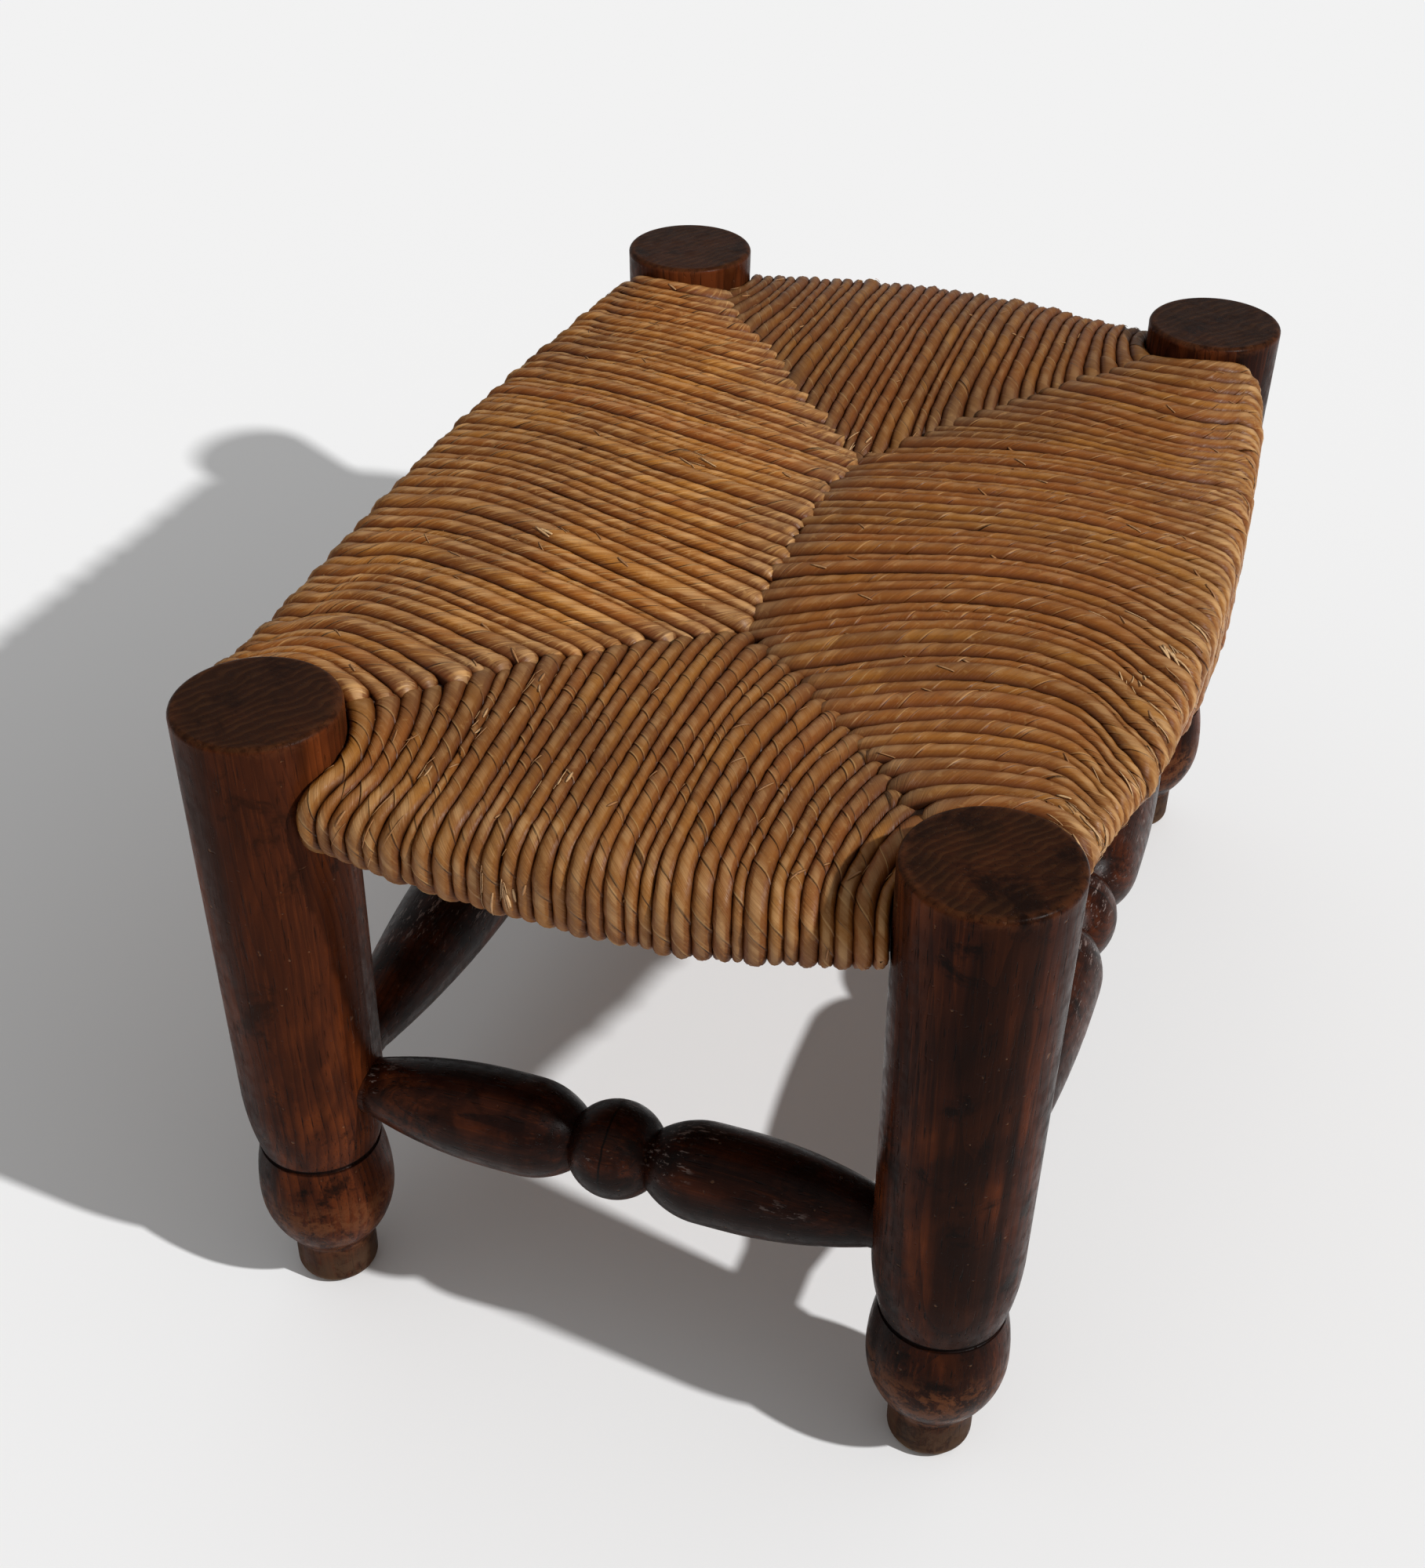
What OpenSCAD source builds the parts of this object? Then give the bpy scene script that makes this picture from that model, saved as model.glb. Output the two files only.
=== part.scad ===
// Rush footstool: four turned legs, four turned stretchers and a hand-wound rush seat.
// X runs along the short side, Y along the long side, Z up. The origin is on the floor,
// under the middle of the seat. All lengths are in millimetres.

/* [Frame] */
// Distance between leg centres along the short side
leg_span_x = 230; // [215:1:250]
// Distance between leg centres along the long side
leg_span_y = 386; // [365:1:410]
// Height from the floor to the flat leg tops
stool_h = 250; // [240:1:270]

/* [Legs] */
// Diameter of a leg at its flat top
leg_top_d = 53.5; // [51:0.5:56]
// Diameter of a leg where the shoulder starts to round in
leg_low_d = 50; // [48:0.5:52]
// Radius of the worn edge round the leg top
top_ease = 2; // [1:0.1:3]
// Height above the floor where the shoulder starts
shoulder_z = 95; // [91:1:101]
// Height above the floor of the groove under the shoulder
groove_z = 66; // [63:1:70]
// Diameter of the lips on both sides of the groove
lip_d = 42.5; // [41:0.5:45]
// Radius of the round groove
groove_r = 1.1; // [0.8:0.1:2]
// Largest diameter of the ball foot
ball_d = 48.5; // [46:0.5:50]
// Height above the floor of the ball's widest line
ball_z = 43.5; // [41:0.5:46]
// Radius of the ball's lower curve
ball_low_r = 36; // [33:1:40]
// Diameter of the toe under the ball
toe_d = 29.5; // [28:0.5:32]
// Radius of the hollow between ball and toe
toe_cove_r = 5; // [4:0.5:7]
// Radius of the worn edge round the toe
toe_round = 4.5; // [3:0.5:6]

/* [Stretchers] */
// Height above the floor of the two short stretchers
short_stretcher_z = 97; // [94:1:104]
// Height above the floor of the two long stretchers
long_stretcher_z = 82; // [79:1:86]
// Diameter of a short stretcher where it enters the leg
short_end_d = 20; // [17:0.5:22]
// Diameter of a long stretcher where it enters the leg
long_end_d = 19; // [17:0.5:21]
// Largest diameter of a short stretcher's bellies
short_belly_d = 34.4; // [31:0.2:37]
// Largest diameter of a long stretcher's bellies
long_belly_d = 39.6; // [36:0.2:42]
// Diameter of the necks of a short stretcher
short_neck_d = 21; // [18:0.5:24]
// Diameter of the necks of a long stretcher
long_neck_d = 24; // [21:0.5:27]
// Diameter of the ball in a short stretcher
short_ball_d = 34; // [31:0.5:37]
// Diameter of the ball in a long stretcher
long_ball_d = 36; // [33:0.5:39]
// Distance from a short stretcher's middle to its necks
short_neck_x = 13.6; // [12:0.2:16]
// Distance from a long stretcher's middle to its necks
long_neck_x = 17; // [14:0.5:20]
// Distance from a short neck to the thickest stretch of the belly
short_rise = 18.5; // [14:0.5:22]
// Distance from a long neck to the thickest stretch of the belly
long_rise = 21; // [16:0.5:26]
// Length of the thickest stretch of a belly
belly_flat = 9; // [4:1:14]
// Length of plain round spindle outside the leg on a long stretcher
long_spindle = 14; // [6:1:22]

/* [Seat rails] */
// How far the seat rails' centre line lies below the leg tops
rail_drop = 31; // [30:0.5:33]
// Half the rush's flat edge, and half the rails' depth, less their edges
rail_flat = 6.4; // [6:0.2:7]
// How far a rail's outer faces stand beyond that flat
rail_edge = 1.6; // [1.2:0.1:1.8]
// Distance from a rail's centre line to its flat inner face
rail_inner = 8; // [6:0.5:10]
// Diameter of the round rail tenons
rail_tenon_d = 15; // [12:0.5:16]

/* [Rush seat] */
// Number of cords across a short side
short_cord_count = 34; // [30:2:38]
// Number of cords across a long side
long_cord_count = 54; // [48:2:60]
// Part of its width by which each cord is pressed into its neighbours
cord_press = 0.4; // [0.3:0.05:0.6]
// Depth of the groove between two cords
cord_groove = 1.6; // [1:0.1:2]
// How far the middle of a short side bows outwards
short_bow = 6.5; // [4:0.5:10]
// How much further out the whole edge of a long side runs
long_side_out = 9.5; // [6:0.5:11]
// How far the middle of a long side bows outwards
long_bow = 10.5; // [6:0.5:12]
// How much the edge of a side thickens towards its middle, above and below
edge_swell = 5.4; // [3:0.2:6]
// How much higher the top of a long side stands beside the legs
long_corner_lift = 12; // [8:0.5:13]
// How much higher the top of a short side stands beside the legs
short_corner_lift = 5; // [3:0.5:8]
// How much higher the top of a short side stands in its middle
short_middle_lift = 3; // [0:0.5:5]
// Slope of the top where it leaves the edge, rising inwards
edge_slope = 0.16; // [0.1:0.01:0.2]
// How far below the leg tops the rush lies where three panels meet
apex_drop = 24; // [20:0.5:26]
// How much higher the seams are at the legs
seam_rise = 13; // [8:0.5:15]
// How much higher the middle of the straight seam is
bridge_rise = 12; // [8:0.5:14]
// How far below the leg tops the underside lies along the seams
under_drop = 45; // [43:0.5:47]
// Distance from the seat's middle to each point where three panels meet
apex_y = 70; // [62:1:78]

/* [Fits] */
// Radial clearance of the round ends in their sockets
socket_fit = 0.1; // [0.05:0.05:0.2]
// Depth left free behind each round end
socket_free = 0.6; // [0.3:0.1:1.5]
// Wood left between the round ends that meet in one leg
tenon_apart = 1.5; // [1:0.25:3]
// Room between the cords and the rail they bend round
rail_room = 0.9; // [0.8:0.05:1]
// Gap between the rush and a leg
leg_gap = 0.5; // [0.4:0.05:0.8]
// Gap between neighbouring parts of the seat
seat_gap = 0.2; // [0.15:0.05:0.3]

/* [Hidden] */
$fn = 96;

walnut = [0.20, 0.09, 0.05];
rush_gold = [0.62, 0.42, 0.20];
straw = [0.72, 0.60, 0.36];

half_x = leg_span_x / 2;
half_y = leg_span_y / 2;
clear_x = leg_span_x - leg_top_d;
clear_y = leg_span_y - leg_top_d;
rail_z = stool_h - rail_drop;
apex_z = stool_h - apex_drop;
under_z = stool_h - under_drop;

// Leg radius at a height on the straight taper above the shoulder
function post_r(z) = (leg_low_d + (leg_top_d - leg_low_d) * (z - shoulder_z)
    / (stool_h - shoulder_z)) / 2;
// Leg radius at any height from the groove up
function leg_r(z) = z >= shoulder_z ? post_r(z)
    : leg_low_d / 2 - shoulder_arc + sqrt(pow(shoulder_arc, 2) - pow(shoulder_z - z, 2));
// Radius of the arc that falls by drop over a run, starting level
function arc_r(run, drop) = (run * run + drop * drop) / (2 * drop);
// Distance from the leg's axis to the tip of a round end of this diameter
function tenon_stop(d) = d / 2 + tenon_apart;

shoulder_arc = arc_r(shoulder_z - groove_z, (leg_low_d - lip_d) / 2);
ball_high_r = arc_r(groove_z - ball_z, (ball_d - lip_d) / 2);
cove_x = toe_d / 2 + toe_cove_r;
ball_low_x = ball_d / 2 - ball_low_r;
cove_z = ball_z - sqrt(pow(ball_low_r + toe_cove_r, 2) - pow(cove_x - ball_low_x, 2));
cove_share = ball_low_r / (ball_low_r + toe_cove_r);
cove_top_x = ball_low_x + (cove_x - ball_low_x) * cove_share;
cove_top_z = ball_z + (cove_z - ball_z) * cove_share;

// Half outline of a turned leg, radius along X and height along Y
module leg_outline() {
    polygon([[0, shoulder_z], [leg_low_d / 2, shoulder_z],
        [leg_top_d / 2, stool_h - top_ease], [0, stool_h - top_ease]]);
    translate([0, stool_h - top_ease]) square([leg_top_d / 2 - top_ease, top_ease]);
    translate([leg_top_d / 2 - top_ease, stool_h - top_ease]) circle(r = top_ease);
    difference() {
        union() {
            intersection() {
                translate([leg_low_d / 2 - shoulder_arc, shoulder_z])
                    circle(r = shoulder_arc, $fn = 360);
                translate([0, groove_z]) square([leg_low_d / 2, shoulder_z - groove_z]);
            }
            intersection() {
                translate([ball_d / 2 - ball_high_r, ball_z])
                    circle(r = ball_high_r, $fn = 360);
                translate([0, ball_z]) square([ball_d / 2, groove_z - ball_z]);
            }
        }
        translate([lip_d / 2 + groove_r / 3, groove_z]) circle(r = groove_r);
    }
    intersection() {
        translate([ball_low_x, ball_z]) circle(r = ball_low_r, $fn = 240);
        translate([0, cove_top_z]) square([ball_d / 2, ball_z - cove_top_z]);
    }
    difference() {
        translate([0, cove_z]) square([cove_top_x, cove_top_z - cove_z]);
        translate([cove_x, cove_z]) circle(r = toe_cove_r);
    }
    translate([0, toe_round]) square([toe_d / 2, cove_z - toe_round]);
    square([toe_d / 2 - toe_round, cove_z]);
    translate([toe_d / 2 - toe_round, toe_round]) circle(r = toe_round);
}

// Socket for a round end, from the leg's axis outwards along X
module socket(d, z) {
    start = tenon_stop(d) - socket_free;
    translate([start, 0, z]) rotate([0, 90, 0])
        cylinder(d = d + 2 * socket_fit, h = leg_top_d / 2 - start + 1);
}

// One leg at its corner; side_x and side_y are -1 or 1
module leg(side_x, side_y) {
    to_middle_x = side_x < 0 ? 0 : 180;
    to_middle_y = side_y < 0 ? 90 : -90;
    color(walnut) translate([side_x * half_x, side_y * half_y, 0]) difference() {
        rotate_extrude() leg_outline();
        rotate([0, 0, to_middle_x]) {
            socket(rail_tenon_d, rail_z);
            socket(short_end_d, short_stretcher_z);
        }
        rotate([0, 0, to_middle_y]) {
            socket(rail_tenon_d, rail_z);
            socket(long_end_d, long_stretcher_z);
        }
    }
}

// One end of a stretcher's half outline: ball, neck, belly and round end, length along Y
module stretcher_outline(reach, entry, end_d, belly_d, neck_d, mid_d, neck_x, rise) {
    ball_arc = arc_r(neck_x, (mid_d - neck_d) / 2);
    rise_arc = arc_r(rise, (belly_d - neck_d) / 2);
    flat_end = neck_x + rise + belly_flat;
    fall_arc = arc_r(entry - flat_end, (belly_d - end_d) / 2);
    intersection() {
        translate([mid_d / 2 - ball_arc, 0]) circle(r = ball_arc, $fn = 180);
        square([mid_d / 2, neck_x]);
    }
    intersection() {
        translate([belly_d / 2 - rise_arc, neck_x + rise]) circle(r = rise_arc, $fn = 180);
        translate([0, neck_x]) square([belly_d / 2, rise]);
    }
    translate([0, neck_x + rise]) square([belly_d / 2, belly_flat]);
    intersection() {
        translate([belly_d / 2 - fall_arc, flat_end]) circle(r = fall_arc, $fn = 720);
        translate([0, flat_end]) square([belly_d / 2, entry - flat_end]);
    }
    translate([0, entry]) square([end_d / 2, reach - entry]);
}

// Turned stretcher along Z, both halves alike, with a ball in the middle
module stretcher(span, entry, end_d, belly_d, neck_d, mid_d, neck_x, rise) {
    reach = span / 2 - tenon_stop(end_d);
    color(walnut) for (end = [0, 180]) rotate([end, 0, 0]) rotate_extrude()
        stretcher_outline(reach, entry, end_d, belly_d, neck_d, mid_d, neck_x, rise);
}

module short_stretcher(side_y) {
    translate([0, side_y * half_y, short_stretcher_z]) rotate([0, 90, 0])
        stretcher(leg_span_x, half_x - leg_r(short_stretcher_z), short_end_d,
            short_belly_d, short_neck_d, short_ball_d, short_neck_x, short_rise);
}

module long_stretcher(side_x) {
    translate([side_x * half_x, 0, long_stretcher_z]) rotate([90, 0, 0])
        stretcher(leg_span_y, half_y - leg_r(long_stretcher_z) - long_spindle, long_end_d,
            long_belly_d, long_neck_d, long_ball_d, long_neck_x, long_rise);
}

// The seat's four sides are drawn outwards along X, with the rail along Y. These give,
// for a long or a short side, where its rail and legs are and what the rush does there.
function rail_off(long) = long ? half_x : half_y;
function legs_off(long) = long ? half_y : half_x;
function clear_length(long) = long ? clear_y : clear_x;
function cords(long) = long ? long_cord_count : short_cord_count;
function cord_t(long) = clear_length(long) / cords(long) + cord_press;
function side_out(long) = long ? long_side_out : 0;
function edge_bow(long) = long ? long_bow : short_bow;
function mix(a, b, share) = a + (b - a) * share;

// How far an arc that rises in the middle of a side has risen, at a place along the rail
function risen(s, rise, long) =
    let (arc = arc_r(clear_length(long) / 2, rise))
    sqrt(arc * arc - s * s) - arc + rise;

// How much higher the cords lie over the edge at a place along the rail
function lift(s, long) =
    mix(long ? 0 : short_middle_lift, long ? long_corner_lift : short_corner_lift,
        pow(abs(s) / (clear_length(long) / 2), 5));

// Points of a rail's bowed line, side 1 or -1 of its centre line, from end to end
RAIL_STEPS = 24;
function bow_line(start, rise, side, long) = [
    for (i = [0 : RAIL_STEPS])
        let (s = side * mix(-1, 1, i / RAIL_STEPS) * (clear_length(long) / 2 - seat_gap))
        [side * (start + risen(s, rise, long)), s]];
// A rail from above, with its straight inner face on the left
module rail_plan(long) {
    end = clear_length(long) / 2 - seat_gap;
    polygon(concat([[-rail_inner, end], [-rail_inner, -end]],
        bow_line(rail_flat + rail_edge + side_out(long), edge_bow(long), 1, long)));
}
// A rail from inside the seat, equally bowed above and below
module rail_side(long)
    polygon(concat(bow_line(rail_flat + rail_edge, edge_swell, 1, long),
        bow_line(rail_flat + rail_edge, edge_swell, -1, long)));

// Seat rail: straight inside, bowed outside, deepest in its middle, with round ends
module seat_rail(long) {
    deep = rail_flat + rail_edge + edge_swell;
    wide = rail_inner + rail_flat + rail_edge + side_out(long) + edge_bow(long);
    tip = legs_off(long) - tenon_stop(rail_tenon_d);
    color(walnut) translate([rail_off(long), 0, rail_z]) {
        intersection() {
            translate([0, 0, -deep]) linear_extrude(2 * deep) rail_plan(long);
            translate([wide - rail_inner, 0, 0]) rotate([0, -90, 0])
                linear_extrude(wide) rail_side(long);
        }
        rotate([90, 0, 0]) cylinder(d = rail_tenon_d, h = 2 * tip, center = true);
    }
}

// The rush is laid out by cord number k, from 0 at one leg to cords(long) at the other.
// Each cord leaves a seam, crosses the top, bends round the rail and comes back below.
mitre_cords = short_cord_count / 2;
round_leg = leg_top_d / 2 + leg_gap;
corner_in = round_leg * cos(45);

// Place of a cord along the rail, over the rail's centre line
function rail_s(k, long) = (legs_off(long) - round_leg) * (2 * k / cords(long) - 1);
// How far a cord is through the mitre seam, 0 at the leg and 1 where the panels meet
function mitred(k, long) = min(1, min(k, cords(long) - k) / mitre_cords);
// Distance from the seat's middle at which a cord meets its seam
function seam_u(k, long) =
    mix(rail_off(long) - corner_in, long ? 0 : apex_y, mitred(k, long)) + seat_gap;
// Place along the seam side at which a cord meets its seam
function seam_s(k, long) =
    let (side = sign(2 * k - cords(long)), far = legs_off(long) - corner_in,
        middle = cords(long) / 2 - mitre_cords)
    !long ? side * mix(far, 0, mitred(k, long))
    : mitred(k, long) < 1 ? side * mix(far, apex_y, mitred(k, long))
    : apex_y * (k - cords(long) / 2) / middle;
// Height of the top at a cord's seam
function seam_z(k, long) = apex_z + (mitred(k, long) < 1
    ? seam_rise * (1 - pow(mitred(k, long), 2))
    : bridge_rise * (long ? 1 - pow(seam_s(k, long) / apex_y, 2) : 0));
// Share of the way from seam line to rail line, round the leg as the first cord goes
function round_share(v) =
    1 - (1 - sqrt(1 - pow((1 - v) * sin(45), 2))) / (1 - cos(45));
// Place of a cord along the rail's direction, at a distance u from the seat's middle
function cord_s(k, u, long) =
    let (start = seam_u(k, long), off = rail_off(long),
        beyond = min(u - off, corner_in),
        spread = (legs_off(long) - sqrt(pow(round_leg, 2) - pow(beyond, 2)))
            / (legs_off(long) - round_leg))
    u < off ? mix(seam_s(k, long), rail_s(k, long), round_share((u - start) / (off - start)))
    : rail_s(k, long) * spread;

// One cord line as numbered points, [distance from the middle, height]: over the top
// in TOP_STEPS, round the rail to FACE and on to UNDER, and back to the seam at LAST.
// It runs at a depth of sink below the outside of the cords. The lining, one cord deep,
// stays level where the cords on it are lifted.
TOP_STEPS = 4;
FACE = TOP_STEPS + 2;
UNDER = FACE + 3;
LAST = UNDER + 1;
function section(k, p, sink, long) =
    let (bend = rail_edge + rail_room + cord_t(long) - sink,
        tilt = atan(edge_slope), half_turn = (90 + tilt) / 2,
        out = rail_off(long) + rail_flat + side_out(long)
            + risen(rail_s(k, long), edge_bow(long), long),
        up = rail_flat + risen(rail_s(k, long), edge_swell, long),
        high = up + (sink < cord_t(long) ? lift(rail_s(k, long), long) : 0),
        start = seam_u(k, long), run = out + bend * sin(tilt) - start,
        top = rail_z + high + bend * cos(tilt), back = 1 - p / TOP_STEPS,
        hollow = top + edge_slope * run - seam_z(k, long) + sink)
    p <= TOP_STEPS
        ? [start + run * (1 - back), top + edge_slope * run * back - hollow * back * back]
    : p < FACE ? [out + bend * sin(half_turn), rail_z + high + bend * cos(half_turn)]
    : p == FACE ? [out + bend, rail_z + high]
    : p == FACE + 1 ? [out + bend, rail_z - up]
    : p < UNDER ? [out + bend * sin(45), rail_z - up - bend * cos(45)]
    : p == UNDER ? [out, rail_z - up - bend]
    : [start, under_z + sink];
function cord_point(k, p, sink, long) =
    let (uz = section(k, p, sink, long)) [uz[0], cord_s(k, uz[0], long), uz[1]];

// Two triangles between four neighbouring points
function pair(a, b, c, d) = [[a, b, c], [a, c, d]];
// Triangles between a fine row of points and a coarse one, which meets it at stops
function zip(fine, coarse, stops, turned) = [
    for (j = [0 : len(coarse) - 2]) each concat(
        [for (a = [stops[j] : stops[j + 1] - 1]) turned
            ? [fine[a + 1], fine[a], coarse[j]] : [fine[a], fine[a + 1], coarse[j]]],
        [turned ? [coarse[j], coarse[j + 1], fine[stops[j + 1]]]
            : [coarse[j + 1], coarse[j], fine[stops[j + 1]]]])];

// Three lines run along each cord's outside: its groove and two shoulders
SHOULDERS = [0, 0.28, 0.72];
// Stops of the smooth inner side along a cord, and cords between its lines
INNER_STOPS = [0, 2, 4, 5, 6, 7, 8, 9, LAST];
INNER_EVERY = 2;

// One wound panel as a shell: grooved cords outside, smooth inside
module rush_panel(long) {
    count = cords(long);
    outer = concat([for (c = [0 : count - 1], share = SHOULDERS) c + share], [count]);
    inner = [for (c = [0 : INNER_EVERY : count]) c];
    row = LAST + 1;
    inner_row = len(INNER_STOPS);
    base = len(outer) * row;
    end_base = base + (len(inner) - 1) * inner_row;
    points = concat(
        [for (k = outer, p = [0 : LAST])
            cord_point(k, p, k == floor(k) ? cord_groove : 0, long)],
        [for (k = inner, p = INNER_STOPS) cord_point(k, p, cord_t(long), long)]);
    skin = [for (i = [0 : len(outer) - 2], p = [0 : LAST - 1])
        each pair(i * row + p, (i + 1) * row + p, (i + 1) * row + p + 1, i * row + p + 1)];
    lining = [for (i = [0 : len(inner) - 2], p = [0 : inner_row - 2])
        let (a = base + i * inner_row + p)
        each pair(a, a + 1, a + inner_row + 1, a + inner_row)];
    line_stops = [for (i = [0 : len(inner) - 1]) i * INNER_EVERY * len(SHOULDERS)];
    rims = concat(
        zip([for (i = [0 : len(outer) - 1]) i * row],
            [for (i = [0 : len(inner) - 1]) base + i * inner_row], line_stops, true),
        zip([for (i = [0 : len(outer) - 1]) i * row + LAST],
            [for (i = [0 : len(inner) - 1]) base + i * inner_row + inner_row - 1],
            line_stops, false),
        zip([for (p = [0 : LAST]) p],
            [for (p = [0 : inner_row - 1]) base + p], INNER_STOPS, false),
        zip([for (p = [0 : LAST]) (len(outer) - 1) * row + p],
            [for (p = [0 : inner_row - 1]) end_base + p], INNER_STOPS, true));
    color(rush_gold) polyhedron(points, concat(skin, lining, rims));
}

// Straw packed into a panel's pocket, between the rail and the seams
module stuffing(long) {
    lines = [for (c = [0 : INNER_EVERY : cords(long)]) c];
    back = rail_off(long) - rail_inner - seat_gap;
    sink = cord_t(long);
    loop = [for (k = lines)
        let (start = seam_u(k, long),
            above = [for (p = [0, 2, 4]) section(k, p, sink, long)],
            below = [for (p = [LAST, UNDER]) section(k, p, sink, long)])
        each concat(
            [for (v = [0, 0.5, 1]) let (u = mix(start, back, v))
                [u, cord_s(k, u, long), lookup(u, above) - seat_gap]],
            [for (v = [1, 0.5, 0]) let (u = mix(start, back, v))
                [u, cord_s(k, u, long), lookup(u, below) + seat_gap]])];
    last = (len(lines) - 1) * 6;
    sides = [for (i = [0 : len(lines) - 2], p = [0 : 5]) let (a = 6 * i, q = (p + 1) % 6)
        each pair(a + p, a + 6 + p, a + 6 + q, a + q)];
    ends = [for (p = [1 : 4]) each [[0, p, p + 1], [last, last + p + 1, last + p]]];
    color(straw) polyhedron(loop, concat(sides, ends));
}

module leg_front_left() leg(-1, -1);
module leg_front_right() leg(1, -1);
module leg_back_left() leg(-1, 1);
module leg_back_right() leg(1, 1);
module stretcher_front() short_stretcher(-1);
module stretcher_back() short_stretcher(1);
module stretcher_left() long_stretcher(-1);
module stretcher_right() long_stretcher(1);
module seat_rail_front() rotate([0, 0, -90]) seat_rail(false);
module seat_rail_back() rotate([0, 0, 90]) seat_rail(false);
module seat_rail_left() rotate([0, 0, 180]) seat_rail(true);
module seat_rail_right() seat_rail(true);
module rush_front() rotate([0, 0, -90]) rush_panel(false);
module rush_back() rotate([0, 0, 90]) rush_panel(false);
module rush_left() rotate([0, 0, 180]) rush_panel(true);
module rush_right() rush_panel(true);
module stuffing_front() rotate([0, 0, -90]) stuffing(false);
module stuffing_back() rotate([0, 0, 90]) stuffing(false);
module stuffing_left() rotate([0, 0, 180]) stuffing(true);
module stuffing_right() stuffing(true);

leg_front_left();
leg_front_right();
leg_back_left();
leg_back_right();
stretcher_front();
stretcher_back();
stretcher_left();
stretcher_right();
seat_rail_front();
seat_rail_back();
seat_rail_left();
seat_rail_right();
rush_front();
rush_back();
rush_left();
rush_right();
stuffing_front();
stuffing_back();
stuffing_left();
stuffing_right();
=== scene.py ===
"""Looks of the rush footstool: turned dark wood and a seat wound from twisted rush.

Lengths are in millimetres and are turned into metres where a mesh is made. The seat is
laid out on four sides. Each side has its own directions: u outwards from the seat's
middle, s along the rail, z up. The front side's cords are numbered from the left leg.
"""

import math

import bpy
import numpy as np
from mathutils import Matrix, Vector


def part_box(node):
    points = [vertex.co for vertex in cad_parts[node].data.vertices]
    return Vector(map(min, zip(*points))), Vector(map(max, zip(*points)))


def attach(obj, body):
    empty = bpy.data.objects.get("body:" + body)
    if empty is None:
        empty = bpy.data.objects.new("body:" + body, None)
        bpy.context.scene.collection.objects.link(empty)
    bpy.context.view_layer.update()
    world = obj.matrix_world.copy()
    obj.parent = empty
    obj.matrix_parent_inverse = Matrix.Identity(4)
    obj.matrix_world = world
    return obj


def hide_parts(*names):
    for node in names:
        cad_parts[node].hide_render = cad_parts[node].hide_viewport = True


MM = 0.001
SIDES = ("front", "back", "left", "right")

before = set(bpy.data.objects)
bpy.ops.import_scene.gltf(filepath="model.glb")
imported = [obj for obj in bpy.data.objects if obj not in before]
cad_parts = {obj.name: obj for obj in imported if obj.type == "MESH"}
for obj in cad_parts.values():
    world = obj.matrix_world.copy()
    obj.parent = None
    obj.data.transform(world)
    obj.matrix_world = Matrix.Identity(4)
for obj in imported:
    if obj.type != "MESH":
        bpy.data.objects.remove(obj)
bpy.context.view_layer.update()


def box_mm(node):
    """Lowest and highest corner of a node, in millimetres."""
    low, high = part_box(node)
    return np.array(low) / MM, np.array(high) / MM


def middle_z(node):
    """Height of a node's middle, in millimetres."""
    return sum(corner[2] for corner in box_mm(node)) / 2


# Places and sizes taken from the frame
leg_low, leg_high = box_mm("leg_front_right")
LEG_X = (leg_low[0] + leg_high[0]) / 2
LEG_Y = -(leg_low[1] + leg_high[1]) / 2
LEG_R = (leg_high[0] - leg_low[0]) / 2
STOOL_H = leg_high[2]
RAIL_Z = middle_z("seat_rail_front")
SHORT_STRETCHER_Z = middle_z("stretcher_front")
LONG_STRETCHER_Z = middle_z("stretcher_left")

# Form of the seat, as in the construction
SHORT_CORDS = 34
LONG_CORDS = 54
RAIL_FLAT = 6.4
RAIL_EDGE = 1.6
RAIL_ROOM = 0.9
CORD_PRESS = 0.4
SHORT_BOW = 6.5
LONG_SIDE_OUT = 9.5
LONG_BOW = 10.5
LONG_CORNER_LIFT = 12.0
SHORT_CORNER_LIFT = 5.0
SHORT_MIDDLE_LIFT = 3.0
EDGE_SWELL = 5.4
EDGE_SLOPE = 0.16
APEX_Z = 226.0
SEAM_RISE = 13.0
BRIDGE_RISE = 12.0
UNDER_Z = 205.0
UNDER_BEND = 0.35
LEG_GAP = 0.5
# Angle by which the outermost cords fan out round a leg
FAN = math.radians(45)
MITRE_CORDS = SHORT_CORDS / 2
ROUND_LEG = LEG_R + LEG_GAP
CORNER_IN = ROUND_LEG * math.cos(FAN)

# The two points where a pair of mitre seams meets the middle one. The front point lies off
# to one side and takes what is near it along; its left seam starts higher at the leg.
FRONT_APEX_Y = 66.0
BACK_APEX_Y = 68.0
FRONT_APEX_X = -2.0
FRONT_APEX_PULL_Y = -70.0
FRONT_APEX_REACH = (60.0, 55.0)
FRONT_LEFT_RISE = 4.5
LEFT_BRIDGE_OUT = 3.3

# Front edge: lower in the middle, its corners by the left and by the right leg, and how
# much rounder its upper bend is. The changes towards its ends are complete at FRONT_END.
FRONT_MIDDLE_LIFT = -4.0
FRONT_CORNER_LIFTS = (3.0, -1.0)
FRONT_ROUND = 8.0
FRONT_LEFT_SHARPER = 0.6
FRONT_LEFT_OUT = 5.5
FRONT_FOOT_UP = 2.0
FRONT_FOOT_LEFT_UP = 3.5
FRONT_FOOT_RIGHT_UP = 3.0
FRONT_END = 88.0

# How much further out each long edge runs: all along, and more from a place to its front
EDGE_OUT = {"left": (1.5, 3.0, -20.0), "right": (2.2, -3.5, 60.0)}
EDGE_OUT_FULL = 160.0
BACK_CORNER_OFF = 8.0
# How far the right face leans in towards its foot at the front
RIGHT_LEAN = 11.0

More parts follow.
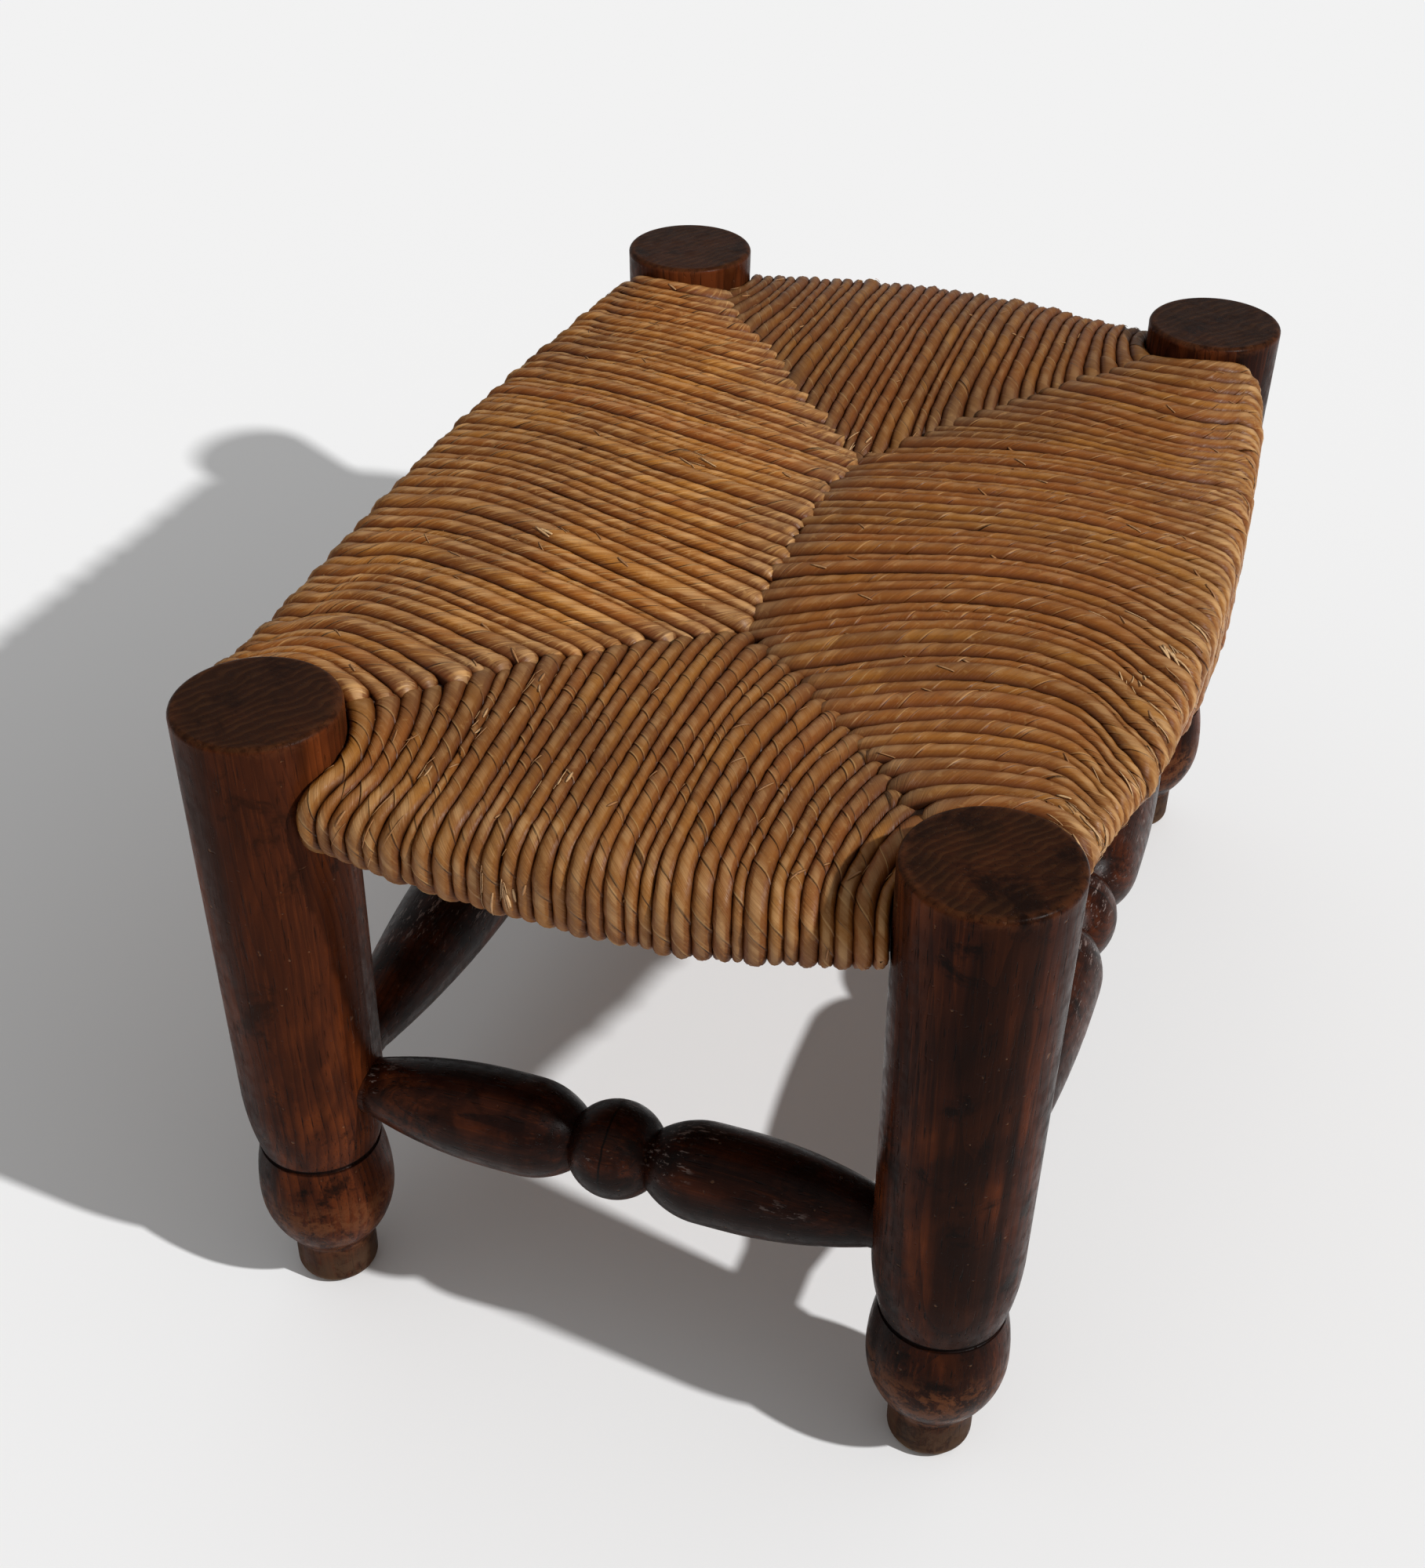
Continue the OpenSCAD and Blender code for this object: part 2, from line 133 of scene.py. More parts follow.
# Sideways drift of the cords. The right side's lie in arcs: where they end and how far
# they rise, by number. The left side's lie askew, most of all near its middle.
SIDE_SKEW = 11.0
MIDDLE_SKEW = 12.0
MIDDLE_SKEW_CORD = 28
MIDDLE_SKEW_WIDE = 12
SKEW_REACH = 150.0
ARC_CORDS = (0, 5, 10, 16, 22, 28, 36, 45, 50, 54)
ARC_ENDS = (0, -10, -19, -12, -4, 1, -2, -8, -5, 0)
ARC_RISES = (0, 12, 24, 20, 13, 7, 2, -5, -3, 0)
ARC_BEYOND = 34.0
ARC_LEAN = 1.7
FRONT_DRIFT = 5.0
BACK_DRIFT = 2.5

# How far the cords run on past their seam, and how far that varies
SHORT_OVERLAP = 6.0
MITRE_OVERLAP = 2.6
BRIDGE_OVERLAP = {"left": 4.2, "right": 2.4}
OVERLAP_SPREAD = (-1.6, 1.8)

# How uneven the cords are: the lines between them, in cord widths, and their heights
LINE_SHIFT = 0.22
LINE_WAVE = 0.09
LINE_WAVE_LENGTH = 110.0
HEIGHT_WAVE = 0.25
HEIGHT_WAVE_LENGTH = 45.0
HEIGHT_SPREAD = (-0.25, 0.35)
TALLEST = 4.2
# A cord's section: below 1 for a squarer one, how much squarer a worn one is, and how
# much wider than its place, so that neighbours press into each other
ROUNDNESS = 0.96
WORN_SQUARE = 0.3
WIDER = 1.06
# How far a cord's ends sink at the seam, over what distance, and how long they taper
LONG_DIP = (-0.7, 0.2)
LONG_DIP_FROM_SEAM = (2.0, 18.0)
SHORT_DIP = (2.0, 2.8)
SHORT_DIP_FROM_SEAM = (1.0, 12.0)
RIGHT_BRIDGE_DIP = 1.0
ROUND_END = 4.0
BRIDGE_END = 5.0
POINTED_END = 9.0
THIN_END = 0.12

# Leaves wrapped round a cord: distance of their rings on top and underneath, what share
# of them are short or lie flat, how far they stand off, and the lumps under them
RING_STEP = 1.9
UNDER_STEP = 4.0
SHORT_SHARE = 0.3
SHORT_LENGTH = 0.3
FLAT_SHARE = 0.3
FLAT_STEP = 0.03
HIGHEST_STEP = 0.36
LUMP = 0.1
LUMP_LENGTH = 8.3
LUMP_TURN = 0.37
# Leaves lie flat and straight towards a seam, where dust gathers
SEAM_FADE = 14.0
DUST_FROM_SEAM = (3.0, 26.0)
# Stations between which an edge is worn and painted with sheen, with a soft start and end
WEAR_SHEEN_FROM = (0.78, 1.1)
WEAR_SHEEN_TO = (2.4, 3.2)
# How far apart the cords' runs are in the fibres' pattern
STRAND_APART = 37.0


# Small helpers

def smooth(x, low, high):
    """Smooth step from 0 at low to 1 at high."""
    t = np.clip((x - low) / (high - low), 0, 1)
    return t * t * (3 - 2 * t)


class Wave:
    """A smooth random line made of a few sines, about 1 at its highest."""

    PARTS = 3

    def __init__(self, random, length):
        self.freq = 2 * np.pi / (length * random.uniform(0.6, 1.6, self.PARTS))
        self.phase = random.uniform(0, 2 * np.pi, self.PARTS)

    def __call__(self, x):
        x = np.asarray(x, float)[..., None]
        return np.sin(x * self.freq + self.phase).sum(-1) / self.PARTS


def new_object(name, data):
    """An object of its own in the scene."""
    made = bpy.data.objects.new(name, data)
    bpy.context.scene.collection.objects.link(made)
    return made


def new_mesh(name, points, faces, material, attributes=None):
    """A smooth-shaded object from points in millimetres, with named point attributes."""
    mesh = bpy.data.meshes.new(name)
    mesh.from_pydata((np.asarray(points) * MM).tolist(), [], faces)
    mesh.polygons.foreach_set("use_smooth", [True] * len(mesh.polygons))
    for key, values in (attributes or {}).items():
        attribute = mesh.attributes.new(key, "FLOAT_VECTOR", "POINT")
        attribute.data.foreach_set("vector", np.asarray(values, np.float32).ravel())
    mesh.materials.append(material)
    mesh.update()
    return new_object(name, mesh)


def tube_faces(rings, around, start):
    """Quads of a closed tube whose rings follow each other, with both ends capped."""
    i = np.arange(rings - 1)[:, None] * around
    j = np.arange(around)[None, :]
    after = (j + 1) % around
    quads = np.stack([i + j, i + after, i + around + after, i + around + j], -1)
    faces = (quads.reshape(-1, 4) + start).tolist()
    faces.append([start + a for a in range(around)][::-1])
    faces.append([start + (rings - 1) * around + a for a in range(around)])
    return faces


def unit(v):
    """The vectors of an array, made one long."""
    return v / np.maximum(np.linalg.norm(v, axis=-1, keepdims=True), 1e-9)


# The winding's layout

class Side:
    """One side of the seat: where a place on its winding lies.

    k numbers the lines between the cords and q is the station along a cord: 0 to 1 across
    the top, to 2 round the upper edge, to 3 down the face, to 4 round the lower edge and
    to 5 back underneath.
    """

    def __init__(self, name):
        self.name = name
        self.long = name in ("left", "right")
        self.count = LONG_CORDS if self.long else SHORT_CORDS
        self.off = LEG_X if self.long else LEG_Y
        self.legs = LEG_Y if self.long else LEG_X
        self.clear = 2 * self.legs - 2 * LEG_R
        self.bow = LONG_BOW if self.long else SHORT_BOW
        self.side_out = LONG_SIDE_OUT if self.long else 0
        self.cord_t = self.clear / self.count + CORD_PRESS
        self.turn = math.radians({"right": 0, "back": 90, "left": 180, "front": -90}[name])
        self.front_way = {"left": 1, "right": -1}.get(name, 0)
        # How much further past the seam a cord runs, while it is being laid
        self.extra = 0.0

    def risen(self, s, rise):
        """How far an arc over the rail stands off at s, if it rises this far in the middle."""
        arc = (self.clear**2 / 4 + rise**2) / (2 * rise)
        return np.sqrt(arc**2 - s**2) - arc + rise

    def lift(self, s):
        """How much higher the cords lie over the edge, in its middle and at its corners."""
        middle = 0 if self.long else SHORT_MIDDLE_LIFT
        corner = LONG_CORNER_LIFT if self.long else SHORT_CORNER_LIFT
        if self.name == "front":
            middle, corner = FRONT_MIDDLE_LIFT, np.where(s < 0, *FRONT_CORNER_LIFTS)
        return middle + (corner - middle) * np.abs(2 * s / self.clear) ** 5

    def round_off(self, s):
        """How much rounder the upper bend is: the front one, but less beside the left leg."""
        if self.name != "front":
            return 0
        return FRONT_ROUND * (1 - FRONT_LEFT_SHARPER * smooth(-s, 50, FRONT_END))

    def rail_s(self, k):
        """Where line k crosses the rail."""
        return (self.legs - ROUND_LEG) * (2 * k / self.count - 1)

    def mitred(self, k):
        """0 beside a leg, 1 from where the mitre seams meet."""
        return np.minimum(1, np.minimum(k, self.count - k) / MITRE_CORDS)

    def further_out(self, s):
        """How much further out an edge runs. Long edges are rounded off at their back end."""
        if self.name == "front":
            return FRONT_LEFT_OUT * smooth(-s, 35, FRONT_END)
        if not self.long:
            return 0
        whole, more, start = EDGE_OUT[self.name]
        corner = np.clip(-2 * s * self.front_way / self.clear, 0, 1) ** 14
        more = more * smooth(s * self.front_way, start, EDGE_OUT_FULL)
        return whole + more - BACK_CORNER_OFF * corner

    def foot_up(self, s):
        """How much higher the foot of the front face ends, most beside the legs."""
        if self.name != "front":
            return 0
        right = FRONT_FOOT_RIGHT_UP * smooth(s, 20, FRONT_END)
        return FRONT_FOOT_UP + (right + FRONT_FOOT_LEFT_UP * smooth(-s, 40, FRONT_END))

    def lean(self, s):
        """How far the foot of the face lies behind its top."""
        return RIGHT_LEAN * smooth(-s, -10, 130) if self.name == "right" else 0

    def seam_u(self, k):
        """Distance of the seam at line k."""
        inner = {"front": FRONT_APEX_Y, "back": BACK_APEX_Y}.get(self.name, 0)
        return self.off - CORNER_IN + (inner - self.off + CORNER_IN) * self.mitred(k)

    def seam_s(self, k):
        """Place along the rail of the seam at line k."""
        side = np.sign(2 * k - self.count)
        far = self.legs - CORNER_IN
        if not self.long:
            return side * far * (1 - self.mitred(k))
        apex = np.where(side == self.front_way, FRONT_APEX_Y, BACK_APEX_Y)
        mitre = side * (far + (apex - far) * self.mitred(k))
        middle = self.count / 2 - MITRE_CORDS
        share = (k - self.count / 2) / middle
        bridge = (FRONT_APEX_Y + BACK_APEX_Y) / 2 * share
        bridge = bridge + self.front_way * (FRONT_APEX_Y - BACK_APEX_Y) / 2
        if self.name == "left":
            bridge = bridge + LEFT_BRIDGE_OUT * np.clip(1 - share**4, 0, 1)
        return np.where(self.mitred(k) < 1, mitre, bridge)

    def seam_z(self, k):
        """Height of the seam at line k."""
        side = np.sign(2 * k - self.count)
        front_left = {"left": 1, "front": -1}.get(self.name, 0)
        rise = np.where(side == front_left, FRONT_LEFT_RISE, 0)
        mitre = SEAM_RISE * (1 - self.mitred(k) ** 2) + rise * (1 - self.mitred(k))
        bridge = BRIDGE_RISE * (1 - np.minimum(1, np.abs(self.seam_s(k)) / BACK_APEX_Y) ** 2)
        return APEX_Z + np.where(self.mitred(k) < 1, mitre, bridge if self.long else 0)

    def along_rail(self, k, u):
        """Place along the rail of cord line k at a distance u from the middle."""
        start = self.seam_u(k)
        v = np.clip((u - start) / (self.off - start), -0.2, 1)
        bent = np.sqrt(1 - ((1 - v) * math.sin(FAN)) ** 2)
        part = 1 - (1 - bent) / (1 - math.cos(FAN))
        inner = self.seam_s(k) + (self.rail_s(k) - self.seam_s(k)) * part
        beyond = np.clip(u - self.off, 0, CORNER_IN)
        spread = (self.legs - np.sqrt(ROUND_LEG**2 - beyond**2)) / (self.legs - ROUND_LEG)
        s = np.where(u < self.off, inner, self.rail_s(k) * spread)
        return s + self.drift(k, u, v)

    def drift(self, k, u, v):
        """Sideways drift of the hand-laid cords; v is 0 at the seam and 1 at the rail."""
        part = k / self.count
        inside = 1 - (2 * k / self.count - 1) ** 4
        if self.name == "front":
            right = smooth(part, 0.5, 0.62) * (1 - smooth(part, 0.76, 0.98))
            return FRONT_DRIFT * right * (1 - smooth(v, -0.15, 0.6))
        if self.name == "back":
            return BACK_DRIFT * inside * (1 - smooth(v, 0, 0.6))
        if self.name == "left":
            middle = MIDDLE_SKEW * np.exp(-(((k - MIDDLE_SKEW_CORD) / MIDDLE_SKEW_WIDE) ** 2))
            ends = (-SIDE_SKEW - middle) * inside
            rises = 0
        else:
            ends = np.interp(k, ARC_CORDS, ARC_ENDS)
            rises = np.interp(k, ARC_CORDS, ARC_RISES)
        start = self.seam_u(k)
        w = np.clip((u - start) / (self.off + ARC_BEYOND - start), 0, 1)
        skew = ends * smooth(u, 0, SKEW_REACH) * smooth(v, 0, 1)
        return skew + rises * np.sin(np.pi * w**ARC_LEAN)

    def overlap(self, k):
        """How far the cords run on past the seam."""
        if not self.long:
            return SHORT_OVERLAP + self.extra
        return np.where(self.mitred(k) < 1, MITRE_OVERLAP, BRIDGE_OVERLAP[self.name]) + self.extra

    def profile(self, k, q, sink):
        """Distance and height of line k at station q, sunk below the outside."""
        s = self.rail_s(k)
        bend = RAIL_EDGE + RAIL_ROOM + self.cord_t - sink
        tilt = math.atan(EDGE_SLOPE)
        out = self.off + RAIL_FLAT + self.side_out + self.risen(s, self.bow)
        out = out + self.further_out(s)
        up = RAIL_FLAT + self.risen(s, EDGE_SWELL)
        start = self.seam_u(k) - self.overlap(k)
        lean = self.lean(s)
        rounded = self.round_off(s)
        over = bend + rounded
        crown = RAIL_Z + (up + self.lift(s)) - rounded
        run = out - rounded + over * math.sin(tilt) - start
        top = crown + over * math.cos(tilt)
        # The top rises inwards from the edge, and hollows out to end on the seam
        hollow = top + EDGE_SLOPE * run - self.seam_z(k) + sink
        back = 1 - q
        t = q - np.floor(q)
        upper = tilt + (math.pi / 2 - tilt) * t
        lower = math.pi / 2 * t
        under = UNDER_BEND * t * t + (1 - UNDER_BEND) * t
        stage = [q < 1, q < 2, q < 3, q < 4]
        u = np.select(
            stage,
            [
                start + run * q,
                out - rounded + over * np.sin(upper),
                out + bend - lean * t,
                out + bend * np.cos(lower) - lean,
            ],
            out - lean + (start - out + lean) * (q - 4),
        )
        low = RAIL_Z - up - bend + self.foot_up(s)
        z = np.select(
            stage,
            [
                top + EDGE_SLOPE * run * back - hollow * back * back,
                crown + over * np.cos(upper),
                crown - (crown - bend - low) * t,
                low + bend - bend * np.sin(lower),
            ],
            low + (UNDER_Z + sink - low) * np.where(q >= 5, 1, under),
        )
        return u, z

    def place(self, k, q, sink):
        """Point in the frame at cord line k and station q, sunk below the outside."""
        k, q = np.broadcast_arrays(np.asarray(k, float), np.asarray(q, float))
        u, z = self.profile(k, q, sink)
        s = self.along_rail(k, u)
        cos, sin = math.cos(self.turn), math.sin(self.turn)
        x, y = u * cos - s * sin, u * sin + s * cos
        wide, deep = FRONT_APEX_REACH
        pull = np.exp(-((x / wide) ** 2) - ((y - FRONT_APEX_PULL_Y) / deep) ** 2)
        return np.stack([x + FRONT_APEX_X * pull, y, z], -1)


# How many stations lie on each stretch of a cord, and the angles of a ring's points
STATION_COUNTS = (120, 16, 16, 12)
STATIONS = np.concatenate(
    [np.linspace(i, i + 1, many, endpoint=False) for i, many in enumerate(STATION_COUNTS)]
    + [np.linspace(4, 5, 60)]
)
AROUND = np.radians([90, 70, 50, 31, 14, -3, -25, -62, -118, -155, 183, 166, 149, 130, 110])
TURN = np.round((90 - np.degrees(AROUND) + 180) % 360 - 180) / 360


class Cord:
    """One wound cord: its middle line, half width and height, sideways and outwards."""

    def __init__(self, side, number, edges, random):
        q = STATIONS
        side.extra = random.uniform(*OVERLAP_SPREAD)
        self.bridge = side.long and MITRE_CORDS <= number < side.count - MITRE_CORDS
        rough = side.place(number + 0.5, q, side.cord_t / 2)
        run = np.concatenate([[0], np.cumsum(np.linalg.norm(np.diff(rough, axis=0), axis=1))])
        low, high = (line + edges[line](run) for line in (number, number + 1))
        first, second = (side.place(line, q, side.cord_t / 2) for line in (low, high))
        middle = (first + second) / 2
        outward = unit(side.place((low + high) / 2, q, 0) - middle)
        across = second - first
        ahead = unit(np.gradient(middle, axis=0))
        across = across - ahead * (across * ahead).sum(-1, keepdims=True)
        normal = np.cross(ahead, across)
        normal *= np.sign((normal * outward).sum(-1, keepdims=True))
        self.run, self.station, self.length = run, q, run[-1]
        self.half = np.linalg.norm(across, axis=1) / 2
        self.tall = 0.3 * side.cord_t / 2 + 0.7 * np.minimum(self.half, TALLEST)
        self.hand = np.sign((across * np.cross(ahead, outward)).sum(-1).mean())
        self.across, self.outward = unit(across), unit(normal)
        lift = HEIGHT_WAVE * Wave(random, HEIGHT_WAVE_LENGTH)(run)
        lift = lift + random.uniform(*HEIGHT_SPREAD) - self.dip(side, random)
        self.middle = middle + outward * lift[:, None]
        self.close_ends(side, number)
        columns = (self.middle, self.across, self.outward, self.half, self.tall)
        self.table = np.column_stack(columns)
        side.extra = 0.0

    def dip(self, side, random):
        """How deep the cord's two ends sink where they meet the seam."""
        lower = random.uniform(*(LONG_DIP if side.long else SHORT_DIP))
        if side.name == "right" and self.bridge:
            lower += RIGHT_BRIDGE_DIP
        reach = LONG_DIP_FROM_SEAM if side.long else SHORT_DIP_FROM_SEAM
        depth = 0
        for from_seam in (self.run, self.length - self.run):
            depth = depth + lower * (1 - smooth(from_seam, *reach))
        return depth

    def close_ends(self, side, number):
        """Rounds the two ends, long and pointed on the right side's front seam."""
        pointed = side.name == "right" and number < MITRE_CORDS
        reach = POINTED_END if pointed else BRIDGE_END if self.bridge else ROUND_END
        for from_seam in (self.run, self.length - self.run):
            near = np.clip(1 - from_seam / reach, 0, 1)
            size = np.maximum(THIN_END, np.sqrt(1 - near**2))
            self.middle -= self.outward * (self.tall * (1 - size) * 0.75)[:, None]
            self.half = self.half * size
            self.tall = self.tall * size

    def at(self, run):
        """Middle, across and outward directions, half width and height at a run."""
        found = np.stack([np.interp(run, self.run, column) for column in self.table.T], -1)
        return found[..., :3], found[..., 3:6], found[..., 6:9], found[..., 9], found[..., 10]

    def skin(self, run, angle, grow=0.0, box=0.0):
        """Point on the cord's skin at a run and an angle, grow outside it."""
        middle, across, outward, half, tall = self.at(run)
        power = ROUNDNESS - WORN_SQUARE * box
        cos, sin = np.cos(angle), np.sin(angle)
        side_way = np.sign(cos) * np.abs(cos) ** power * (half * WIDER + grow)
        out_way = np.sign(sin) * np.abs(sin) ** power * (tall + grow)
        return middle + across * side_way[..., None] + outward * out_way[..., None]


class Look:
    """How the cords of one side look: the slant, length and height of their leaves, how
    much wear and painted sheen its edge has, and how much painted shade the side gets,
    which is below 0 where the lamp shines on it."""

    def __init__(self, side):
        self.slant = {"left": 1.3, "right": 1.1}.get(side.name, 1.0)
        self.leaf = (6.0, 22.0) if side.long else (5.0, 19.0)
        self.step = 0.27 if side.long else 0.36
        self.wear_and_sheen = {"right": 0.6, "left": 0.25, "front": 0.35}.get(side.name, 0.0)
        self.dark = {"back": 1.2, "front": 0.85, "left": -1.0, "right": 0.7}[side.name]


def leaf_rings(cord, look, random):
    """Runs of the rings, where in its leaf each lies, and the leaf's values for each ring:
    three random ones, of which the last is spare, and its length."""
    turn = np.interp(4.0, cord.station, cord.run)
    runs, shares, leaves = [], [], []
    here = 0.0
    while here < turn - 3:
        length = random.uniform(*look.leaf)
        if random.rand() < SHORT_SHARE:
            length *= SHORT_LENGTH
        length = min(length, turn - here)
        inner = max(2, int(length / RING_STEP))
        share = np.concatenate([[0.0], np.linspace(0.05, 0.95, inner), [1.0 - 0.1 / length]])
        runs.append(here + share * length)
        shares.append(share)
        leaves.append(np.tile([*random.uniform(0, 1, 3), length], (len(share), 1)))
        here += length
    rest = np.linspace(here, cord.length, max(4, int((cord.length - here) / UNDER_STEP)))
    runs.append(rest[1:])
    shares.append(np.full(len(rest) - 1, 0.5))
    leaves.append(np.tile([*random.uniform(0, 1, 3), 9.0], (len(rest) - 1, 1)))
    return np.concatenate(runs), np.concatenate(shares), np.concatenate(leaves)


class EdgeLine:
    """Wavy line between neighbouring cords, in cord widths, so that no two are alike."""

    def __init__(self, random, inside):
        wave = Wave(random, LINE_WAVE_LENGTH)
        shift = random.uniform(-LINE_SHIFT, LINE_SHIFT)
        self.wave, self.shift, self.inside = wave, shift, inside

    def __call__(self, run):
        return self.inside * (self.shift + LINE_WAVE * self.wave(run))


def wind_cord(cord, look, random, number, start):
    """Points, faces and attributes of one cord, wrapped in leaves that overlap. Its points
    are numbered from start on."""
    run, share, leaf = leaf_rings(cord, look, random)
    from_seam = np.minimum(run, cord.length - run)
    fade = np.clip(from_seam / SEAM_FADE, 0, 1)
    slant = look.slant * random.uniform(0.85, 1.15)
    girth = 2 * np.pi * cord.half.mean()
    # A ring is skewed along the cord, so that the leaves' ends run round it at a slant
    turn = np.clip(TURN, -0.3, 0.3)[None, :]
    own_run = run[:, None] - slant * cord.hand * girth * turn * fade[:, None]
    station = np.interp(run, cord.run, cord.station)
    seen = np.clip((4.1 - station) / 0.2, 0, 1)
    # The worn edge: squarer cords and flatter leaves; in the material a paler colour, painted
    # sheen and less painted shade
    wear_and_sheen = look.wear_and_sheen * smooth(station, *WEAR_SHEEN_FROM) * (1 - smooth(station, *WEAR_SHEEN_TO))
    # Each leaf stands off most at its end, where the next one comes from under it
    high = look.step * (0.2 + 0.8 * leaf[:, 0] ** 2)
    step = np.where(leaf[:, 0] < FLAT_SHARE, FLAT_STEP, high)
    step = step * seen * (1 - 0.5 * wear_and_sheen) * fade
    lump = LUMP * np.sin(2 * np.pi * (run / LUMP_LENGTH + number * LUMP_TURN)) * seen
    grow = step * (share**1.6 - 0.45) + lump

    def whole(values):
        return np.broadcast_to(values, own_run.shape)

    def spread(*values):
        return np.stack([whole(v).ravel() for v in values], -1)

    box = 0.85 * wear_and_sheen
    points = cord.skin(own_run, whole(AROUND), whole(grow[:, None]), whole(box[:, None]))
    long_way = (run[:, None] + STRAND_APART * number) * MM
    round_way = TURN[None, :] * girth * cord.hand * MM
    dust = 1 - smooth(from_seam, *DUST_FROM_SEAM)
    length, share = leaf[:, 3:4], share[:, None]
    attributes = {
        "strand": spread(long_way, round_way, number + leaf[0, 1]),
        "look": spread(np.clip(np.sin(AROUND), 0, 1), dust[:, None], wear_and_sheen[:, None]),
        "leaf": spread(share * length, (1 - share) * length, leaf[:, 1:2]),
        "edge": spread(step[:, None] / HIGHEST_STEP, look.dark, 0.0),
    }
    return points.reshape(-1, 3), tube_faces(len(run), len(AROUND), start), attributes


def wind_side(side, material):
    """The cords of one side, and pieces of at most 34 of them."""
    random = np.random.RandomState(11 + SIDES.index(side.name))
    look = Look(side)
    edges = [EdgeLine(random, 0 < number < side.count) for number in range(side.count + 1)]
    cords, pieces = [], []
    share = side.count // 2 if side.long else side.count
    for first in range(0, side.count, share):
        points, faces, found = [], [], {}
        total = 0
        for number in range(first, first + share):
            cord = Cord(side, number, edges, random)
            cords.append(cord)
            own, own_faces, attributes = wind_cord(cord, look, random, number, total)
            points.append(own)
            faces += own_faces
            total += len(own)
            for key, values in attributes.items():
                found.setdefault(key, []).append(values)
        found = {key: np.concatenate(values) for key, values in found.items()}
        name = f"rush_cords_{side.name}_{len(pieces) + 1}"
        pieces.append(new_mesh(name, np.concatenate(points), faces, material, found))
    return cords, pieces


# How deep the lining's two skins lie, in cord thicknesses
LINING_DEPTHS = (0.55, 0.95)


def line_side(side, material):
    """A closed skin just under the cords, painted dark as shade, so that no gap shows through."""
    k = np.arange(side.count + 1)[:, None]
    stretches = ((0.03, 1, 14), (1.2, 4, 14), (4.1, 4.97, 8))
    q = np.concatenate([np.linspace(*stretch) for stretch in stretches])
    layers = [side.place(k, q[None, :], side.cord_t * share) for share in LINING_DEPTHS]
    points = np.concatenate([layer.reshape(-1, 3) for layer in layers])
    grid = np.arange(k.size * q.size).reshape(k.size, q.size)
    a, b, c, d = grid[:-1, :-1], grid[1:, :-1], grid[1:, 1:], grid[:-1, 1:]
    outer = np.stack([a, b, c, d], -1)
    inner = np.stack([a, d, c, b], -1) + grid.size
    faces = np.stack([outer, inner], -2).reshape(-1, 4).tolist()
    # Closed along its rim
    rim = np.concatenate([grid[:, 0], grid[-1, 1:], grid[-2::-1, -1], grid[0, -2:0:-1]]).tolist()
    for one, other in zip(rim, rim[1:] + rim[:1]):
        faces.append([other, one, grid.size + one, grid.size + other])
    return new_mesh("rush_lining_" + side.name, points, faces, material)


# Loose ends of rush that stand off the cords

SLIVER_OFF = 0.22
SLIVER_THICK = 0.12

# Worn places that the photograph shows, by side: cord, station, spread in cords and in
# stations, how many, how far they lift, how pale, and how much they follow the cord
TUFTS = {
    "front": (
        (6.6, 0.42, 0.5, 0.09, 7, 0.6, 0.8, 0.8),
        (8.0, 0.30, 0.4, 0.05, 4, 0.6, 0.7, 0.8),
        (13.0, 0.86, 0.5, 0.05, 5, 0.6, 0.9, 0.8),
        (5.5, 0.83, 0.4, 0.04, 4, 0.4, 0.9, 0.8),
        (3.2, 0.62, 0.6, 0.06, 4, 0.6, 0.7, 0.7),
        (12.2, 2.4, 0.5, 0.5, 12, 0.3, 0.9, 1.0),
        (4.0, 1.6, 1.6, 0.5, 7, 0.4, 0.6, 0.8),
    ),
    "right": (
        (15.6, 0.93, 0.7, 0.02, 10, 0.6, 1.3, 0.2),
        (19.5, 0.97, 0.6, 0.03, 8, 0.6, 1.3, 0.2),
        (2.6, 0.93, 2.2, 0.07, 12, 0.7, 1.0, 0.7),
        (2.0, 1.6, 2.0, 0.5, 10, 0.6, 1.0, 0.7),
        (14.0, 1.2, 9.0, 0.5, 18, 0.3, 1.0, 0.9),
    ),
    "left": (
        (25.0, 0.35, 1.0, 0.05, 8, 0.6, 0.9, 0.5),
        (36.5, 0.55, 0.5, 0.03, 6, 0.5, 1.1, 0.4),
    ),
    "back": ((17.0, 0.06, 0.8, 0.04, 10, 1.0, 0.9, 0.3),),
}


class Slivers:
    """Collects thin slivers of rush and makes one piece of them."""

    STEPS = 6

    def __init__(self, random):
        self.random = random
        self.points, self.faces, self.look = [], [], []

    def add(self, cord, slant, run, angle, length, width, lift, pale, follow):
        """A sliver that leaves the cord's skin at its far end."""
        t = np.linspace(0, 1, self.STEPS)
        girth = 2 * np.pi * np.interp(run, cord.run, cord.half)
        lean = 0.7 * math.atan2(1, slant) * (1 - follow) + self.random.normal(0, 0.15)
        runs = run + length * t * math.cos(lean)
        angles = angle - cord.hand * length * t * math.sin(lean) * 2 * np.pi / girth
        runs = runs - length * 0.5 * math.cos(lean)
        line = cord.skin(runs, angles, SLIVER_OFF + lift * t**2.2)
        middle = cord.at(runs)[0]
        outward = unit(line - middle)
        across = unit(np.cross(np.gradient(line, axis=0), outward))
        aside = across * (width * (0.3 + 0.7 * np.sin(np.pi * (0.12 + 0.8 * t))))[:, None] / 2
        ring = np.stack([line - aside, line + outward * SLIVER_THICK, line + aside], 1)
        start = len(self.points) * self.STEPS * 3
        self.points.append(ring.reshape(-1, 3))
        self.faces += tube_faces(self.STEPS, 3, start)
        tone = pale * self.random.uniform(0.6, 1.0)
        self.look.append(np.tile([self.random.rand(), 0.0, tone], (self.STEPS * 3, 1)))

    def piece(self, name, material):
        """All the slivers as one object."""
        look = {"look": np.concatenate(self.look)}
        return new_mesh(name, np.concatenate(self.points), self.faces, material, look)


